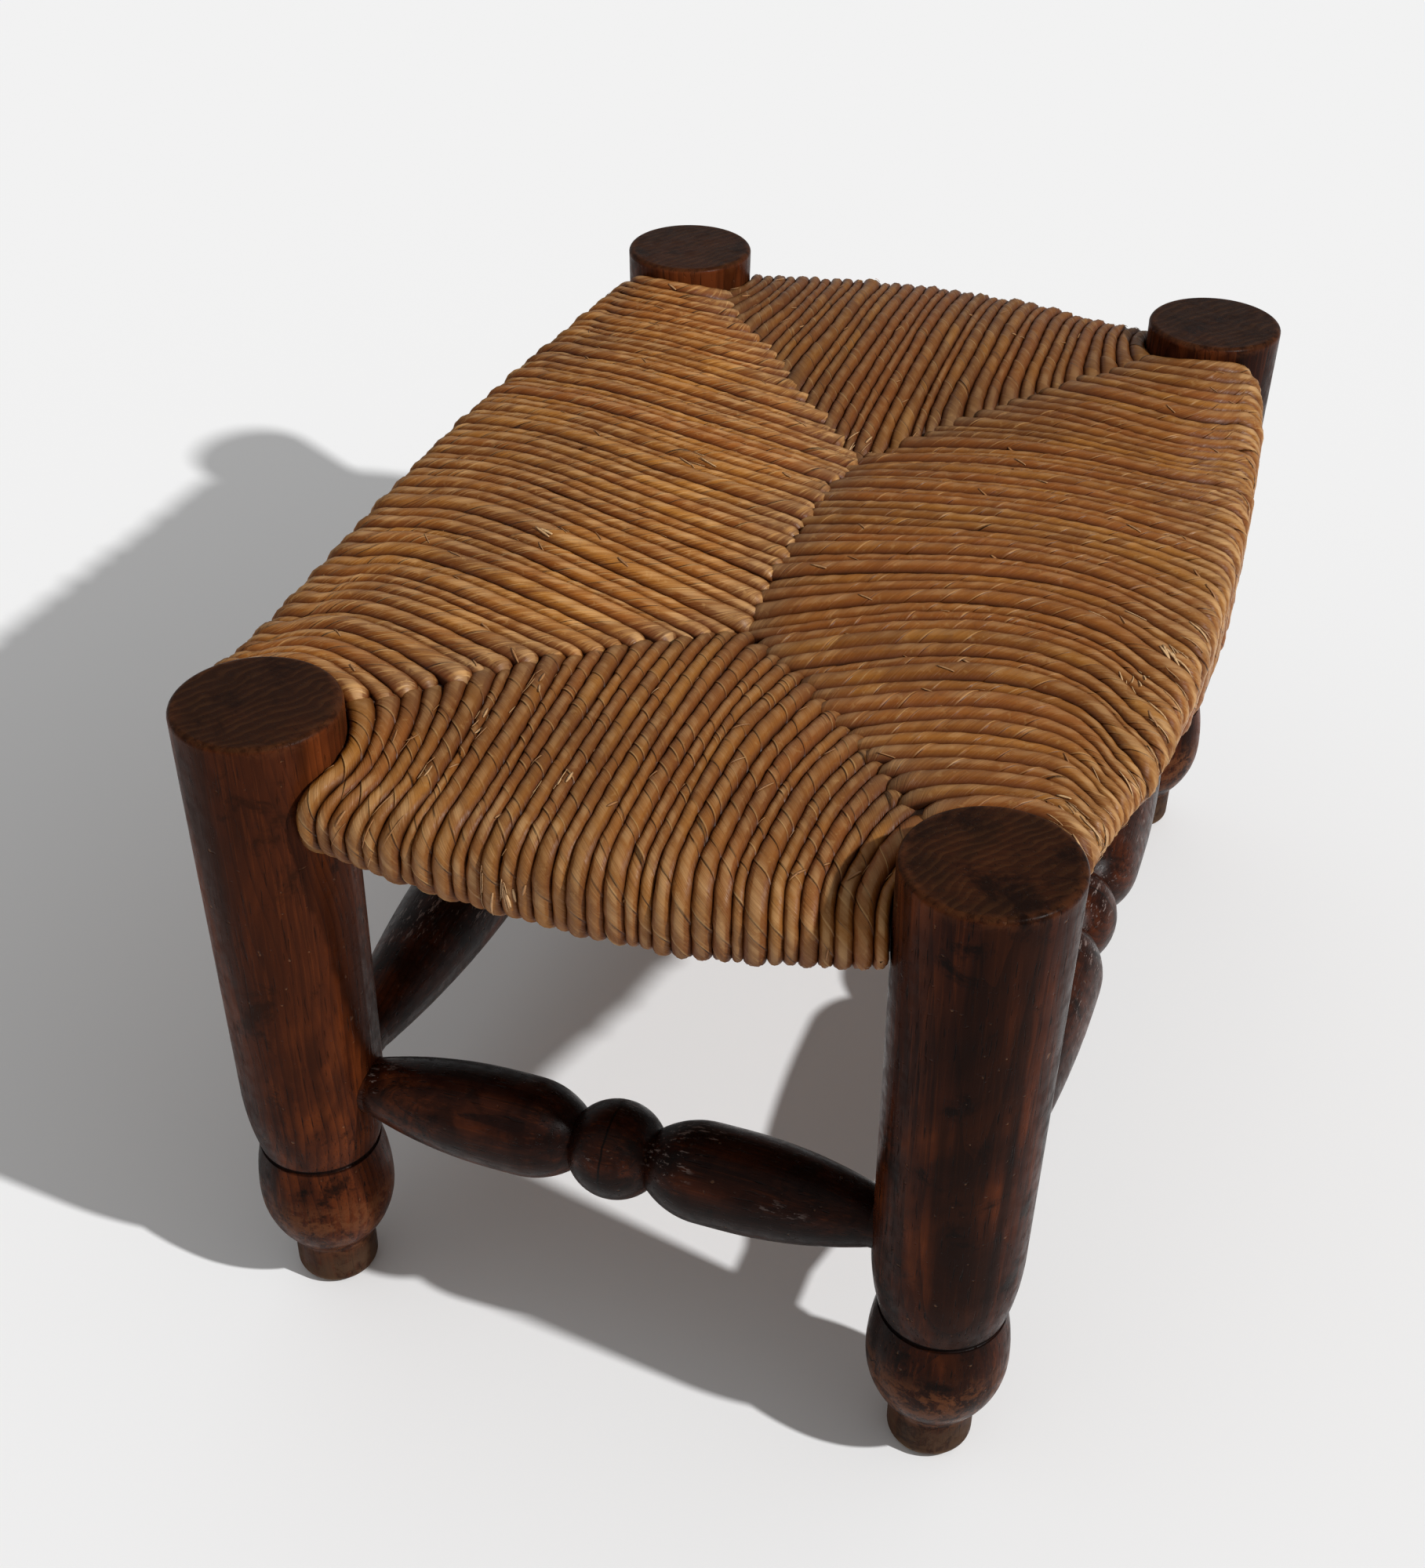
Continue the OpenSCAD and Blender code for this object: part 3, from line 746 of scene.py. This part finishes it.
def loose_ends(side, cords, material):
    """All slivers of one side as one piece."""
    random = np.random.RandomState(101 + SIDES.index(side.name))
    slivers = Slivers(random)
    look = Look(side)

    def put(number, station, lift, pale, follow, longer):
        cord = cords[int(np.clip(number, 0, side.count - 1))]
        run = float(np.interp(station, cord.station, cord.run))
        angle = math.radians(random.uniform(25, 155))
        length = random.uniform(2.0, 5.5) * longer
        width = random.uniform(0.3, 1.1)
        lift = abs(random.normal(0, 1)) * lift * 0.6
        slivers.add(cord, look.slant, run, angle, length, width, lift, pale, follow)

    for number, station, wide, tall, many, lift, pale, follow in TUFTS[side.name]:
        for _ in range(many):
            where = np.clip(station + random.normal(0, tall / 2), 0.03, 3.5)
            put(number + random.normal(0, wide / 2), where, lift, pale, follow, 1 + follow)
    for number in range(side.count):
        stations = [random.uniform(0.04, 1), random.uniform(1, 3.2)]
        station = random.choice(stations, p=[0.75, 0.25])
        put(number, station, 0.1, 0.6, random.uniform(0, 0.2), 1.2)
    return slivers.piece("rush_slivers_" + side.name, material)


# Materials

class Shader:
    """Short ways to build a material's nodes."""

    def __init__(self, name):
        self.material = bpy.data.materials.new(name)
        self.material.use_nodes = True
        self.tree = self.material.node_tree
        self.surface = self.tree.nodes["Principled BSDF"]

    def node(self, kind, **values):
        made = self.tree.nodes.new(kind)
        for key, value in values.items():
            setattr(made, key, value)
        return made

    def feed(self, socket, value):
        """Links a node's output to a socket, or sets the socket to a constant."""
        if isinstance(value, bpy.types.NodeSocket):
            self.tree.links.new(value, socket)
        elif value is not None:
            socket.default_value = value

    def made_of(self, kind, given, **values):
        """First output of a node whose first inputs are the given ones."""
        made = self.node(kind, **values)
        for socket, value in zip(made.inputs, given):
            self.feed(socket, value)
        return made.outputs[0]

    def math(self, operation, *given):
        return self.made_of("ShaderNodeMath", given, operation=operation)

    def vector(self, operation, a, b):
        return self.made_of("ShaderNodeVectorMath", (a, b), operation=operation)

    def join(self, x, y, z):
        return self.made_of("ShaderNodeCombineXYZ", (x, y, z))

    def times(self, first, *others):
        """Product of two values or more."""
        for other in others:
            first = self.math("MULTIPLY", first, other)
        return first

    def plus(self, first, *others):
        """Sum of two values or more."""
        for other in others:
            first = self.math("ADD", first, other)
        return first

    def distance(self, x, y):
        return self.math("SQRT", self.plus(self.times(x, x), self.times(y, y)))

    def split(self, vector):
        made = self.node("ShaderNodeSeparateXYZ")
        self.feed(made.inputs[0], vector)
        return tuple(made.outputs)

    def attribute(self, name):
        return self.node("ShaderNodeAttribute", attribute_name=name).outputs["Vector"]

    def place(self):
        return self.node("ShaderNodeTexCoord").outputs["Object"]

    def place_mm(self):
        """Place in the frame as three values in millimetres."""
        return self.split(self.vector("MULTIPLY", self.place(), (1 / MM,) * 3))

    def noise(self, vector, scale, detail=3.0, rough=0.5, warp=0.0):
        """Noise of one scale, or of three that stretch it."""
        if isinstance(scale, tuple):
            vector = self.vector("MULTIPLY", vector, scale)
            scale = 1.0
        made = self.node("ShaderNodeTexNoise")
        given = {"Scale": scale, "Detail": detail, "Roughness": rough, "Distortion": warp}
        for key, value in {"Vector": vector, **given}.items():
            self.feed(made.inputs[key], value)
        return made.outputs["Fac"]

    def band(self, value, low, high, end=1.0, start=0.0):
        """Smooth change from start to end while value goes from low to high."""
        given = (value, low, high, start, end)
        return self.made_of("ShaderNodeMapRange", given, interpolation_type="SMOOTHSTEP")

    def mix(self, share, a, b):
        made = self.node("ShaderNodeMix", data_type="RGBA")
        for index, value in ((0, share), (6, a), (7, b)):
            self.feed(made.inputs[index], value)
        return made.outputs[2]

    def coats(self, color, *coats):
        """Lays coats over a colour, each given as its share and its 0 to 255 values."""
        for share, shade in coats:
            color = self.mix(share, color, rgb(*shade))
        return color

    def bump(self, height, depth, strength=1.0):
        made = self.node("ShaderNodeBump")
        for key, value in (("Height", height), ("Distance", depth), ("Strength", strength)):
            self.feed(made.inputs[key], value)
        return made.outputs[0]

    def finish(self, color, rough, normal=None, specular=0.5):
        given = {"Base Color": color, "Roughness": rough, "Normal": normal}
        for key, value in {**given, "Specular IOR Level": specular}.items():
            self.feed(self.surface.inputs[key], value)
        return self.material


def rgb(red, green, blue):
    """Linear colour from the 0 to 255 values of a screen colour."""
    parts = []
    for value in (red, green, blue):
        v = value / 255
        parts.append(v / 12.92 if v <= 0.04045 else ((v + 0.055) / 1.055) ** 2.4)
    return (*parts, 1.0)


def rush_material():
    """Twisted rush: fine fibres along the leaves, their dark edges, dirt and painted shade in the
    gaps, painted sheen on the crests.
    """
    s = Shader("rush_cord")
    # The runs are the rings' own, so a leaf's fibres keep one run across the cord
    strand = s.attribute("strand")
    _, around, number = s.split(strand)
    crest, dust, wear_and_sheen = s.split(s.attribute("look"))
    from_start, to_end, chance = s.split(s.attribute("leaf"))
    raised, side_shade, _ = s.split(s.attribute("edge"))
    place = s.place()
    fibres = s.noise(strand, (1500.0, 110.0, 7.3), 2.0, 0.6)
    streaks = s.noise(strand, (480.0, 50.0, 3.1), 2.0)
    patch = s.noise(place, 16.0, 3.0, 0.6)
    spots = s.noise(place, 300.0, 3.0, 0.65)
    tone = s.noise(s.join(number, 0.0, 0.0), 3.3, 0.0)
    # Streaks and fibres show most on the side with the least painted shade, and on worn edges
    hatched = s.math("MAXIMUM", s.band(side_shade, -0.2, -0.8, 1.0, 0.3), s.times(wear_and_sheen, 1.4))
    color = s.coats(
        rgb(172, 110, 36),
        (s.band(chance, 0.0, 1.0), (132, 76, 18)),
        (s.band(tone, 0.35, 0.65), (148, 82, 22)),
        (s.band(patch, 0.45, 0.7, 0.7), (108, 60, 18)),
        (s.times(dust, s.band(patch, 0.3, 0.6, 0.6, 0.2)), (112, 84, 58)),
        (s.times(s.band(streaks, 0.5, 0.75, 0.5), hatched), (204, 150, 86)),
        (s.times(s.band(fibres, 0.5, 0.32, 0.6), hatched), (84, 42, 14)),
        (s.times(s.band(fibres, 0.56, 0.72, 0.5), hatched), (224, 178, 116)),
        (s.band(spots, 0.56, 0.75, 0.35), (96, 54, 24)),
        (s.band(spots, 0.42, 0.28, 0.3), (204, 158, 98)),
        # Paler on the worn edges: partly rubbed rush, partly painted highlight
        (s.times(wear_and_sheen, s.band(spots, 0.42, 0.6, 0.6, 0.1)), (184, 132, 76)),
    )
    # Painted highlight on the lifted lip at a leaf's end, and behind it a crack that is cut
    #     into the bump and painted dark as shade, both over part of its width
    lip_place = s.join(s.times(around, 260.0), s.times(chance, 40.0), 0.0)
    partly = s.band(s.noise(lip_place, 1.0, 1.0), 0.3, 0.5)
    lip_highlight = s.times(s.band(to_end, 0.9, 0.2, 0.55), s.band(raised, 0.1, 0.6), partly)
    crack_and_shade = s.times(s.band(from_start, 0.65, 0.05), s.band(raised, 0.05, 0.4, 0.95), partly)
    # Sheen along the crests, in patches
    glow = s.band(s.noise(strand, (130.0, 40.0, 5.1), 3.0, 0.6), 0.42, 0.66, 0.42, 0.08)
    few = s.plus(s.band(side_shade, -0.3, 0.1, 0.7, 1.0), s.times(wear_and_sheen, 1.8))
    sheen = s.times(s.band(crest, 0.84, 1.0), glow, few)
    # Painted shade on the flanks, and painted shade with dirt in the gaps between the cords, less
    # on the worn edges
    flank = s.times(s.band(crest, 0.97, 0.5), s.band(wear_and_sheen, 0.0, 1.0, 0.5, 0.8))
    gap = s.times(s.band(crest, 0.62, 0.25), s.band(wear_and_sheen, 0.0, 1.0, 0.6, 1.0))
    # The light falls off towards the seat's left edge
    from_middle, _, _ = s.place_mm()
    left = s.band(from_middle, -70.0, -150.0, 0.22)
    color = s.coats(
        color,
        (lip_highlight, (222, 178, 116)),
        (crack_and_shade, (30, 14, 7)),
        (sheen, (232, 184, 126)),
        (flank, (92, 40, 5)),
        (gap, (40, 13, 1)),
        # Painted shade by side: each side is painted darker by its own amount
        (s.times(s.math("MAXIMUM", side_shade, 0.0), 0.42), (56, 30, 12)),
        (left, (70, 36, 14)),
    )
    height = s.plus(s.times(fibres, 0.6), s.times(streaks, 0.5), s.times(spots, 0.4))
    normal = s.bump(s.math("SUBTRACT", height, s.times(crack_and_shade, 0.8)), 0.35 * MM)
    return s.finish(color, s.band(streaks, 0.3, 0.75, 0.34, 0.52), normal, 0.2)


def straw_material():
    """Pale loose slivers of rush."""
    s = Shader("rush_sliver")
    _, _, tone = s.split(s.attribute("look"))
    flecks = s.noise(s.place(), 900.0, 2.0, 0.6)
    color = s.coats(
        rgb(150, 100, 54),
        (s.band(tone, 0.3, 1.1), (214, 176, 128)),
        (s.band(flecks, 0.55, 0.35, 0.4), (122, 78, 42)),
    )
    return s.finish(color, 0.5, s.bump(flecks, 0.1 * MM, 0.5), 0.4)


def lining_material():
    """Rush deep between the cords, painted dark as shade and dirt."""
    s = Shader("rush_deep")
    flecks = s.noise(s.place(), 500.0, 3.0, 0.6)
    color = s.coats(rgb(40, 20, 8), (flecks, (74, 42, 18)))
    return s.finish(color, 0.85, s.bump(flecks, 0.3 * MM, 0.6))


# Width of the growth rings and of the lines on the leg tops
RING_WIDE = 2.6
END_GRAIN_WIDE = 3.6
# Heights on the leg: where the ball's worn part and the groove begin and end, and from
# where to where the toe and its rim wear off and the post gets warmer
BALL_FROM = (12.0, 20.0)
BALL_TO = (56.0, 42.0)
GROOVE_FROM = (64.2, 65.4)
GROOVE_TO = (67.8, 66.6)
TOE_WORN = (22.0, 9.0)
RIM_WORN = (5.0, 1.0)
POST_WARM = (70.0, 150.0)


def wood_material(name, axis, heart, warm_share=0.5):
    """Old dark polished wood. Grain runs along the axis; heart is where the rings centre."""
    s = Shader(name)
    place = s.place()
    x, y, z = s.split(s.vector("SUBTRACT", place, tuple(v * MM for v in heart)))
    along, across, other = {"x": (x, y, z), "y": (y, z, x), "z": (z, x, y)}[axis]
    grown = s.join(along, across, other)
    # Growth rings, wavy and leaning a little
    bend = s.noise(grown, (7.0, 22.0, 22.0), 2.0)
    shift = s.times(s.math("SUBTRACT", bend, 0.5), 22 * MM)
    one = s.plus(across, shift, s.times(along, 0.06))
    two = s.plus(other, s.times(shift, 0.6))
    ring = s.math("FRACT", s.math("DIVIDE", s.distance(one, two), RING_WIDE * MM))
    grain = s.noise(grown, (28.0, 900.0, 900.0), 4.0, 0.62)
    pores = s.noise(grown, (110.0, 1500.0, 1500.0), 1.0)
    pore = s.times(s.band(pores, 0.36, 0.28), s.band(ring, 0.2, 0.6, 1.0, 0.4))
    patch = s.noise(grown, (9.0, 24.0, 24.0), 4.0, 0.6, 0.6)
    stain = s.noise(grown, (5.0, 55.0, 55.0), 3.0, 0.6)
    grime = s.noise(place, 46.0, 6.0, 0.72, 0.4)
    scuffs = s.noise(place, 230.0, 2.0)
    dents = s.noise(place, 75.0, 2.0)
    dents_and_glints = s.noise(place, 420.0, 1.0)
    warm = (112, 54, 22)
    color = s.coats(
        rgb(32, 13, 7),
        (s.band(patch, 0.36, 0.6), (60, 26, 12)),
        (s.band(patch, 0.5, 0.74, warm_share), warm),
        (s.times(s.math("POWER", ring, 2.2), 0.6), (22, 10, 8)),
        (s.band(grain, 0.5, 0.74, 0.28), warm),
        (s.band(stain, 0.5, 0.62, 0.75), (17, 7, 4)),
        (s.band(grime, 0.54, 0.66, 0.85), (12, 6, 4)),
        (s.times(pore, 0.85), (10, 6, 5)),
        # Pale specks on small dents in the polish, painted as glints
        (s.band(dents_and_glints, 0.75, 0.8, 0.25), (150, 112, 82)),
    )
    height = s.plus(s.times(grain, 0.35), s.times(pore, -0.8), s.times(dents, 0.9))
    height = s.math("SUBTRACT", height, s.band(dents_and_glints, 0.7, 0.78, 0.8))
    normal = s.bump(height, 0.35 * MM, 0.6)
    return s, color, s.band(scuffs, 0.35, 0.7, 0.42, 0.26), normal, grime


def leg_material():
    """Leg wood, rubbed to orange brown on the ball and dusty on the toe."""
    s, color, rough, normal, grime = wood_material("leg_wood", "z", (60.0, 30.0, 0.0), 0.75)
    place = s.place()
    x, y, height = s.place_mm()
    mottle = s.noise(place, 190.0, 5.0, 0.75, 0.5)
    left_post = s.times(s.band(x, 20.0, -60.0, 0.09), s.band(height, *POST_WARM))
    on_ball = s.times(s.band(height, *BALL_TO), s.band(height, *BALL_FROM))
    bare = s.times(s.band(mottle, 0.44, 0.56), s.band(grime, 0.66, 0.5), 0.75)
    toe = s.times(s.band(height, *TOE_WORN), s.band(mottle, 0.38, 0.55, 0.85, 0.25))
    color = s.coats(
        color,
        (left_post, (118, 58, 24)),
        (s.times(on_ball, bare), (96, 56, 32)),
        (toe, (72, 52, 38)),
        (s.times(s.band(height, *RIM_WORN), s.band(mottle, 0.4, 0.6, 0.8, 0.1)), (112, 82, 50)),
    )
    # The top shows end grain: faint lines across it, darker than the sides
    wavy = s.times(s.noise(place, 30.0, 3.0, 0.6), 16.0)
    skewed = s.plus(s.times(x, 0.83), s.times(y, -0.55), wavy)
    lines = s.math("FRACT", s.math("DIVIDE", skewed, END_GRAIN_WIDE))
    lines = s.times(s.band(lines, 0.2, 0.9), s.noise(place, 120.0, 3.0, 0.6))
    end_grain = s.coats(
        rgb(38, 20, 10),
        (s.band(lines, 0.1, 0.7, 0.6), (66, 40, 20)),
        (s.band(grime, 0.46, 0.64, 0.9), (22, 10, 6)),
    )
    on_top = s.times(s.band(height, STOOL_H - 1.5, STOOL_H - 0.4), 0.85)
    color = s.mix(on_top, color, end_grain)
    # Its rim is worn, and the groove is painted nearly black
    off_x, off_y = (
        s.math("SUBTRACT", s.math("ABSOLUTE", way), leg) for way, leg in ((x, LEG_X), (y, LEG_Y))
    )
    near_rim = s.band(s.distance(off_x, off_y), LEG_R - 4.0, LEG_R - 1.2)
    top_rim = s.times(s.band(height, STOOL_H - 5.0, STOOL_H - 1.0), near_rim)
    in_groove = s.times(s.band(height, *GROOVE_FROM), s.band(height, *GROOVE_TO))
    color = s.coats(
        color,
        (s.times(top_rim, s.band(mottle, 0.4, 0.6, 0.3)), (96, 54, 30)),
        (s.times(in_groove, 0.9), (12, 7, 6)),
    )
    return s.finish(color, s.plus(rough, s.times(toe, 0.3)), normal, 0.035)


def stretcher_material(name, axis, heart):
    """Stretcher wood: nearly black, its polish flaked off in short pale marks on top, which are
    partly painted highlight.
    """
    s, color, rough, normal, _ = wood_material(name, axis, heart)
    place = s.place()
    x, y, z = s.place_mm()
    short = axis == "x"
    along, other = (x, y) if short else (y, x)
    centre = SHORT_STRETCHER_Z if short else LONG_STRETCHER_Z
    soot = s.noise(place, 60.0, 4.0, 0.65, 0.3)
    flakes_and_glints = s.band(s.noise(s.join(along, other, z), (0.15, 0.7, 0.7), 3.0, 0.7), 0.57, 0.63)
    upper = s.band(z, centre + 2.0, centre + 9.0)
    where = s.band(s.noise(place, 38.0, 1.0), 0.48, 0.6)
    # A drying crack wanders round the middle ball
    wander = s.times(s.math("SUBTRACT", s.noise(place, 90.0, 2.0), 0.5), 3.0)
    from_crack = s.math("ABSOLUTE", s.plus(along, wander))
    color = s.coats(
        color,
        (s.band(soot, 0.4, 0.62, 0.75, 0.1), (16, 5, 3)),
        # Pale flakes of polish on the upper side only, partly painted highlight
        (s.times(flakes_and_glints, upper, where, 0.6), (128, 112, 106)),
        (s.band(from_crack, 0.5, 0.2, 0.9), (6, 3, 2)),
    )
    return s.finish(color, rough, normal, 0.09)


def rail_material():
    """Plain wood of the rails, which hardly shows."""
    s, color, _, normal, _ = wood_material("rail_wood", "y", (30.0, 0.0, RAIL_Z), 0.8)
    return s.finish(color, 0.7, normal)


# What share of a rail's thickness past a limit is taken off, as the cords sit close to it
RAIL_SLIM = 0.7


def slim_rail(name, axis, limit, material):
    """A copy of a rail, thinner past a limit along an axis."""
    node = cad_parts["seat_rail_" + name]
    points = np.array([node.matrix_world @ v.co for v in node.data.vertices]) / MM
    past = points[:, axis] - limit
    outside = np.sign(limit if axis < 2 else 1) * past > 0
    points[:, axis] -= np.where(outside, RAIL_SLIM * past, 0)
    faces = [list(face.vertices) for face in node.data.polygons]
    piece = new_mesh(f"seat_rail_{name}_slim", points, faces, material)
    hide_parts("seat_rail_" + name)
    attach(piece, "root")
    return piece


def dress(node, material):
    """Gives a node of the construction its finish."""
    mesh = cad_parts[node].data
    mesh.materials.clear()
    mesh.materials.append(material)


# Floor, light and camera

FLOOR_COLOR = rgb(242, 242, 242)
# Half the floor's width, in metres
FLOOR_REACH = 6.0
SKY_LEVEL = 0.38
KEY_LEVEL = 0.95
# Place and radius of the lamp in metres, found from where the photo's shadows fall. They
# don't agree with one lamp, so this is a compromise between the legs' and the seat's.
LAMP_AT = (0.900, -0.330, 0.960)
LAMP_R = 0.020

# Camera fitted to the photo: its place in millimetres, its angles and its lens in pixels
PHOTO_H = 2000
CAMERA_AT = (192.85, -652.06, 603.26)
YAW, PITCH, ROLL = (math.radians(v) for v in (-19.200, 38.782, 0.5855))
FOCAL_PX = 2676.2
CENTRE_DROP_PX = 150
SENSOR = 36.0


def floor_material():
    """White floor, evenly pale to the camera although the lamp is nearer on one side."""
    s = Shader("floor_white")
    far = s.node("ShaderNodeVectorMath", operation="DISTANCE")
    s.feed(far.inputs[0], s.place())
    s.feed(far.inputs[1], LAMP_AT)
    key = s.math("DIVIDE", KEY_LEVEL * LAMP_AT[2], far.outputs["Value"])
    even = s.math("DIVIDE", FLOOR_COLOR[0], s.plus(key, SKY_LEVEL))
    path = s.node("ShaderNodeLightPath").outputs["Is Camera Ray"]
    color = s.mix(path, FLOOR_COLOR, s.join(even, even, even))
    return s.finish(color, 0.9, specular=0.0)


def add_floor():
    """A wide flat floor, which isn't part of the stool."""
    mesh = bpy.data.meshes.new("floor")
    ways = ((-1, -1), (1, -1), (1, 1), (-1, 1))
    corners = [(x * FLOOR_REACH, y * FLOOR_REACH, 0) for x, y in ways]
    mesh.from_pydata(corners, [], [(0, 1, 2, 3)])
    mesh.materials.append(floor_material())
    new_object("floor", mesh)


def add_lamp():
    """A small lamp whose light doesn't fade with distance, and whose level is KEY_LEVEL."""
    data = bpy.data.lights.new("key", "POINT")
    data.energy = KEY_LEVEL * math.pi * 4 * math.pi
    data.shadow_soft_size = LAMP_R
    data.use_nodes = True
    tree = data.node_tree
    level = tree.nodes.new("ShaderNodeLightFalloff")
    level.inputs["Strength"].default_value = 1.0
    tree.links.new(level.outputs["Constant"], tree.nodes["Emission"].inputs["Strength"])
    new_object("key", data).location = LAMP_AT


def add_sky():
    """Even light from all around, which the camera sees as white as the floor."""
    world = bpy.data.worlds.new("studio")
    bpy.context.scene.world = world
    world.use_nodes = True
    tree = world.node_tree
    path = tree.nodes.new("ShaderNodeLightPath")
    seen = tree.nodes.new("ShaderNodeMix")
    seen.data_type = "RGBA"
    seen.inputs[6].default_value = (SKY_LEVEL, SKY_LEVEL, SKY_LEVEL, 1)
    seen.inputs[7].default_value = FLOOR_COLOR
    tree.links.new(path.outputs["Is Camera Ray"], seen.inputs[0])
    tree.links.new(seen.outputs[2], tree.nodes["Background"].inputs["Color"])


def add_camera():
    """The photo's camera: YAW turns it right, PITCH down, and ROLL leans it left."""
    forward = Vector((math.sin(YAW), math.cos(YAW), 0))
    ahead = forward * math.cos(PITCH) - Vector((0, 0, math.sin(PITCH)))
    level = Vector((math.cos(YAW), -math.sin(YAW), 0))
    above = level.cross(ahead)
    right = level * math.cos(ROLL) + above * math.sin(ROLL)
    up = above * math.cos(ROLL) - level * math.sin(ROLL)
    data = bpy.data.cameras.new("camera")
    data.sensor_width = SENSOR
    data.lens = FOCAL_PX / PHOTO_H * SENSOR
    data.shift_y = CENTRE_DROP_PX / PHOTO_H
    camera = new_object("camera", data)
    turned = Matrix((right, up, -ahead)).transposed().to_4x4()
    camera.matrix_world = Matrix.Translation(Vector(CAMERA_AT) * MM) @ turned
    bpy.context.scene.camera = camera


# Putting it together

bpy.context.scene.view_settings.view_transform = "Standard"
add_camera()
add_lamp()
add_sky()
add_floor()

leg_wood = leg_material()
for corner in ("front_left", "front_right", "back_left", "back_right"):
    dress("leg_" + corner, leg_wood)
short_heart = (0.0, -LEG_Y - 28.0, SHORT_STRETCHER_Z + 20.0)
short_wood = stretcher_material("short_stretcher_wood", "x", short_heart)
long_heart = (LEG_X + 26.0, 0.0, LONG_STRETCHER_Z + 22.0)
long_wood = stretcher_material("long_stretcher_wood", "y", long_heart)
rail_wood = rail_material()
for name in SIDES:
    dress("stretcher_" + name, long_wood if name in ("left", "right") else short_wood)
    dress("seat_rail_" + name, rail_wood)

for name, axis, limit in (("front", 2, RAIL_Z + 3), ("right", 0, LEG_X + 9)):
    slim_rail(name, axis, limit, rail_wood)

rush = rush_material()
deep = lining_material()
sliver = straw_material()
for name in SIDES:
    side = Side(name)
    cords, wound = wind_side(side, rush)
    lining = line_side(side, deep)
    slivers = loose_ends(side, cords, sliver)
    for piece in wound:
        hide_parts("rush_" + name)
    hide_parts("stuffing_" + name)
    for piece in (*wound, lining, slivers):
        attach(piece, "root")

bpy.context.view_layer.update()
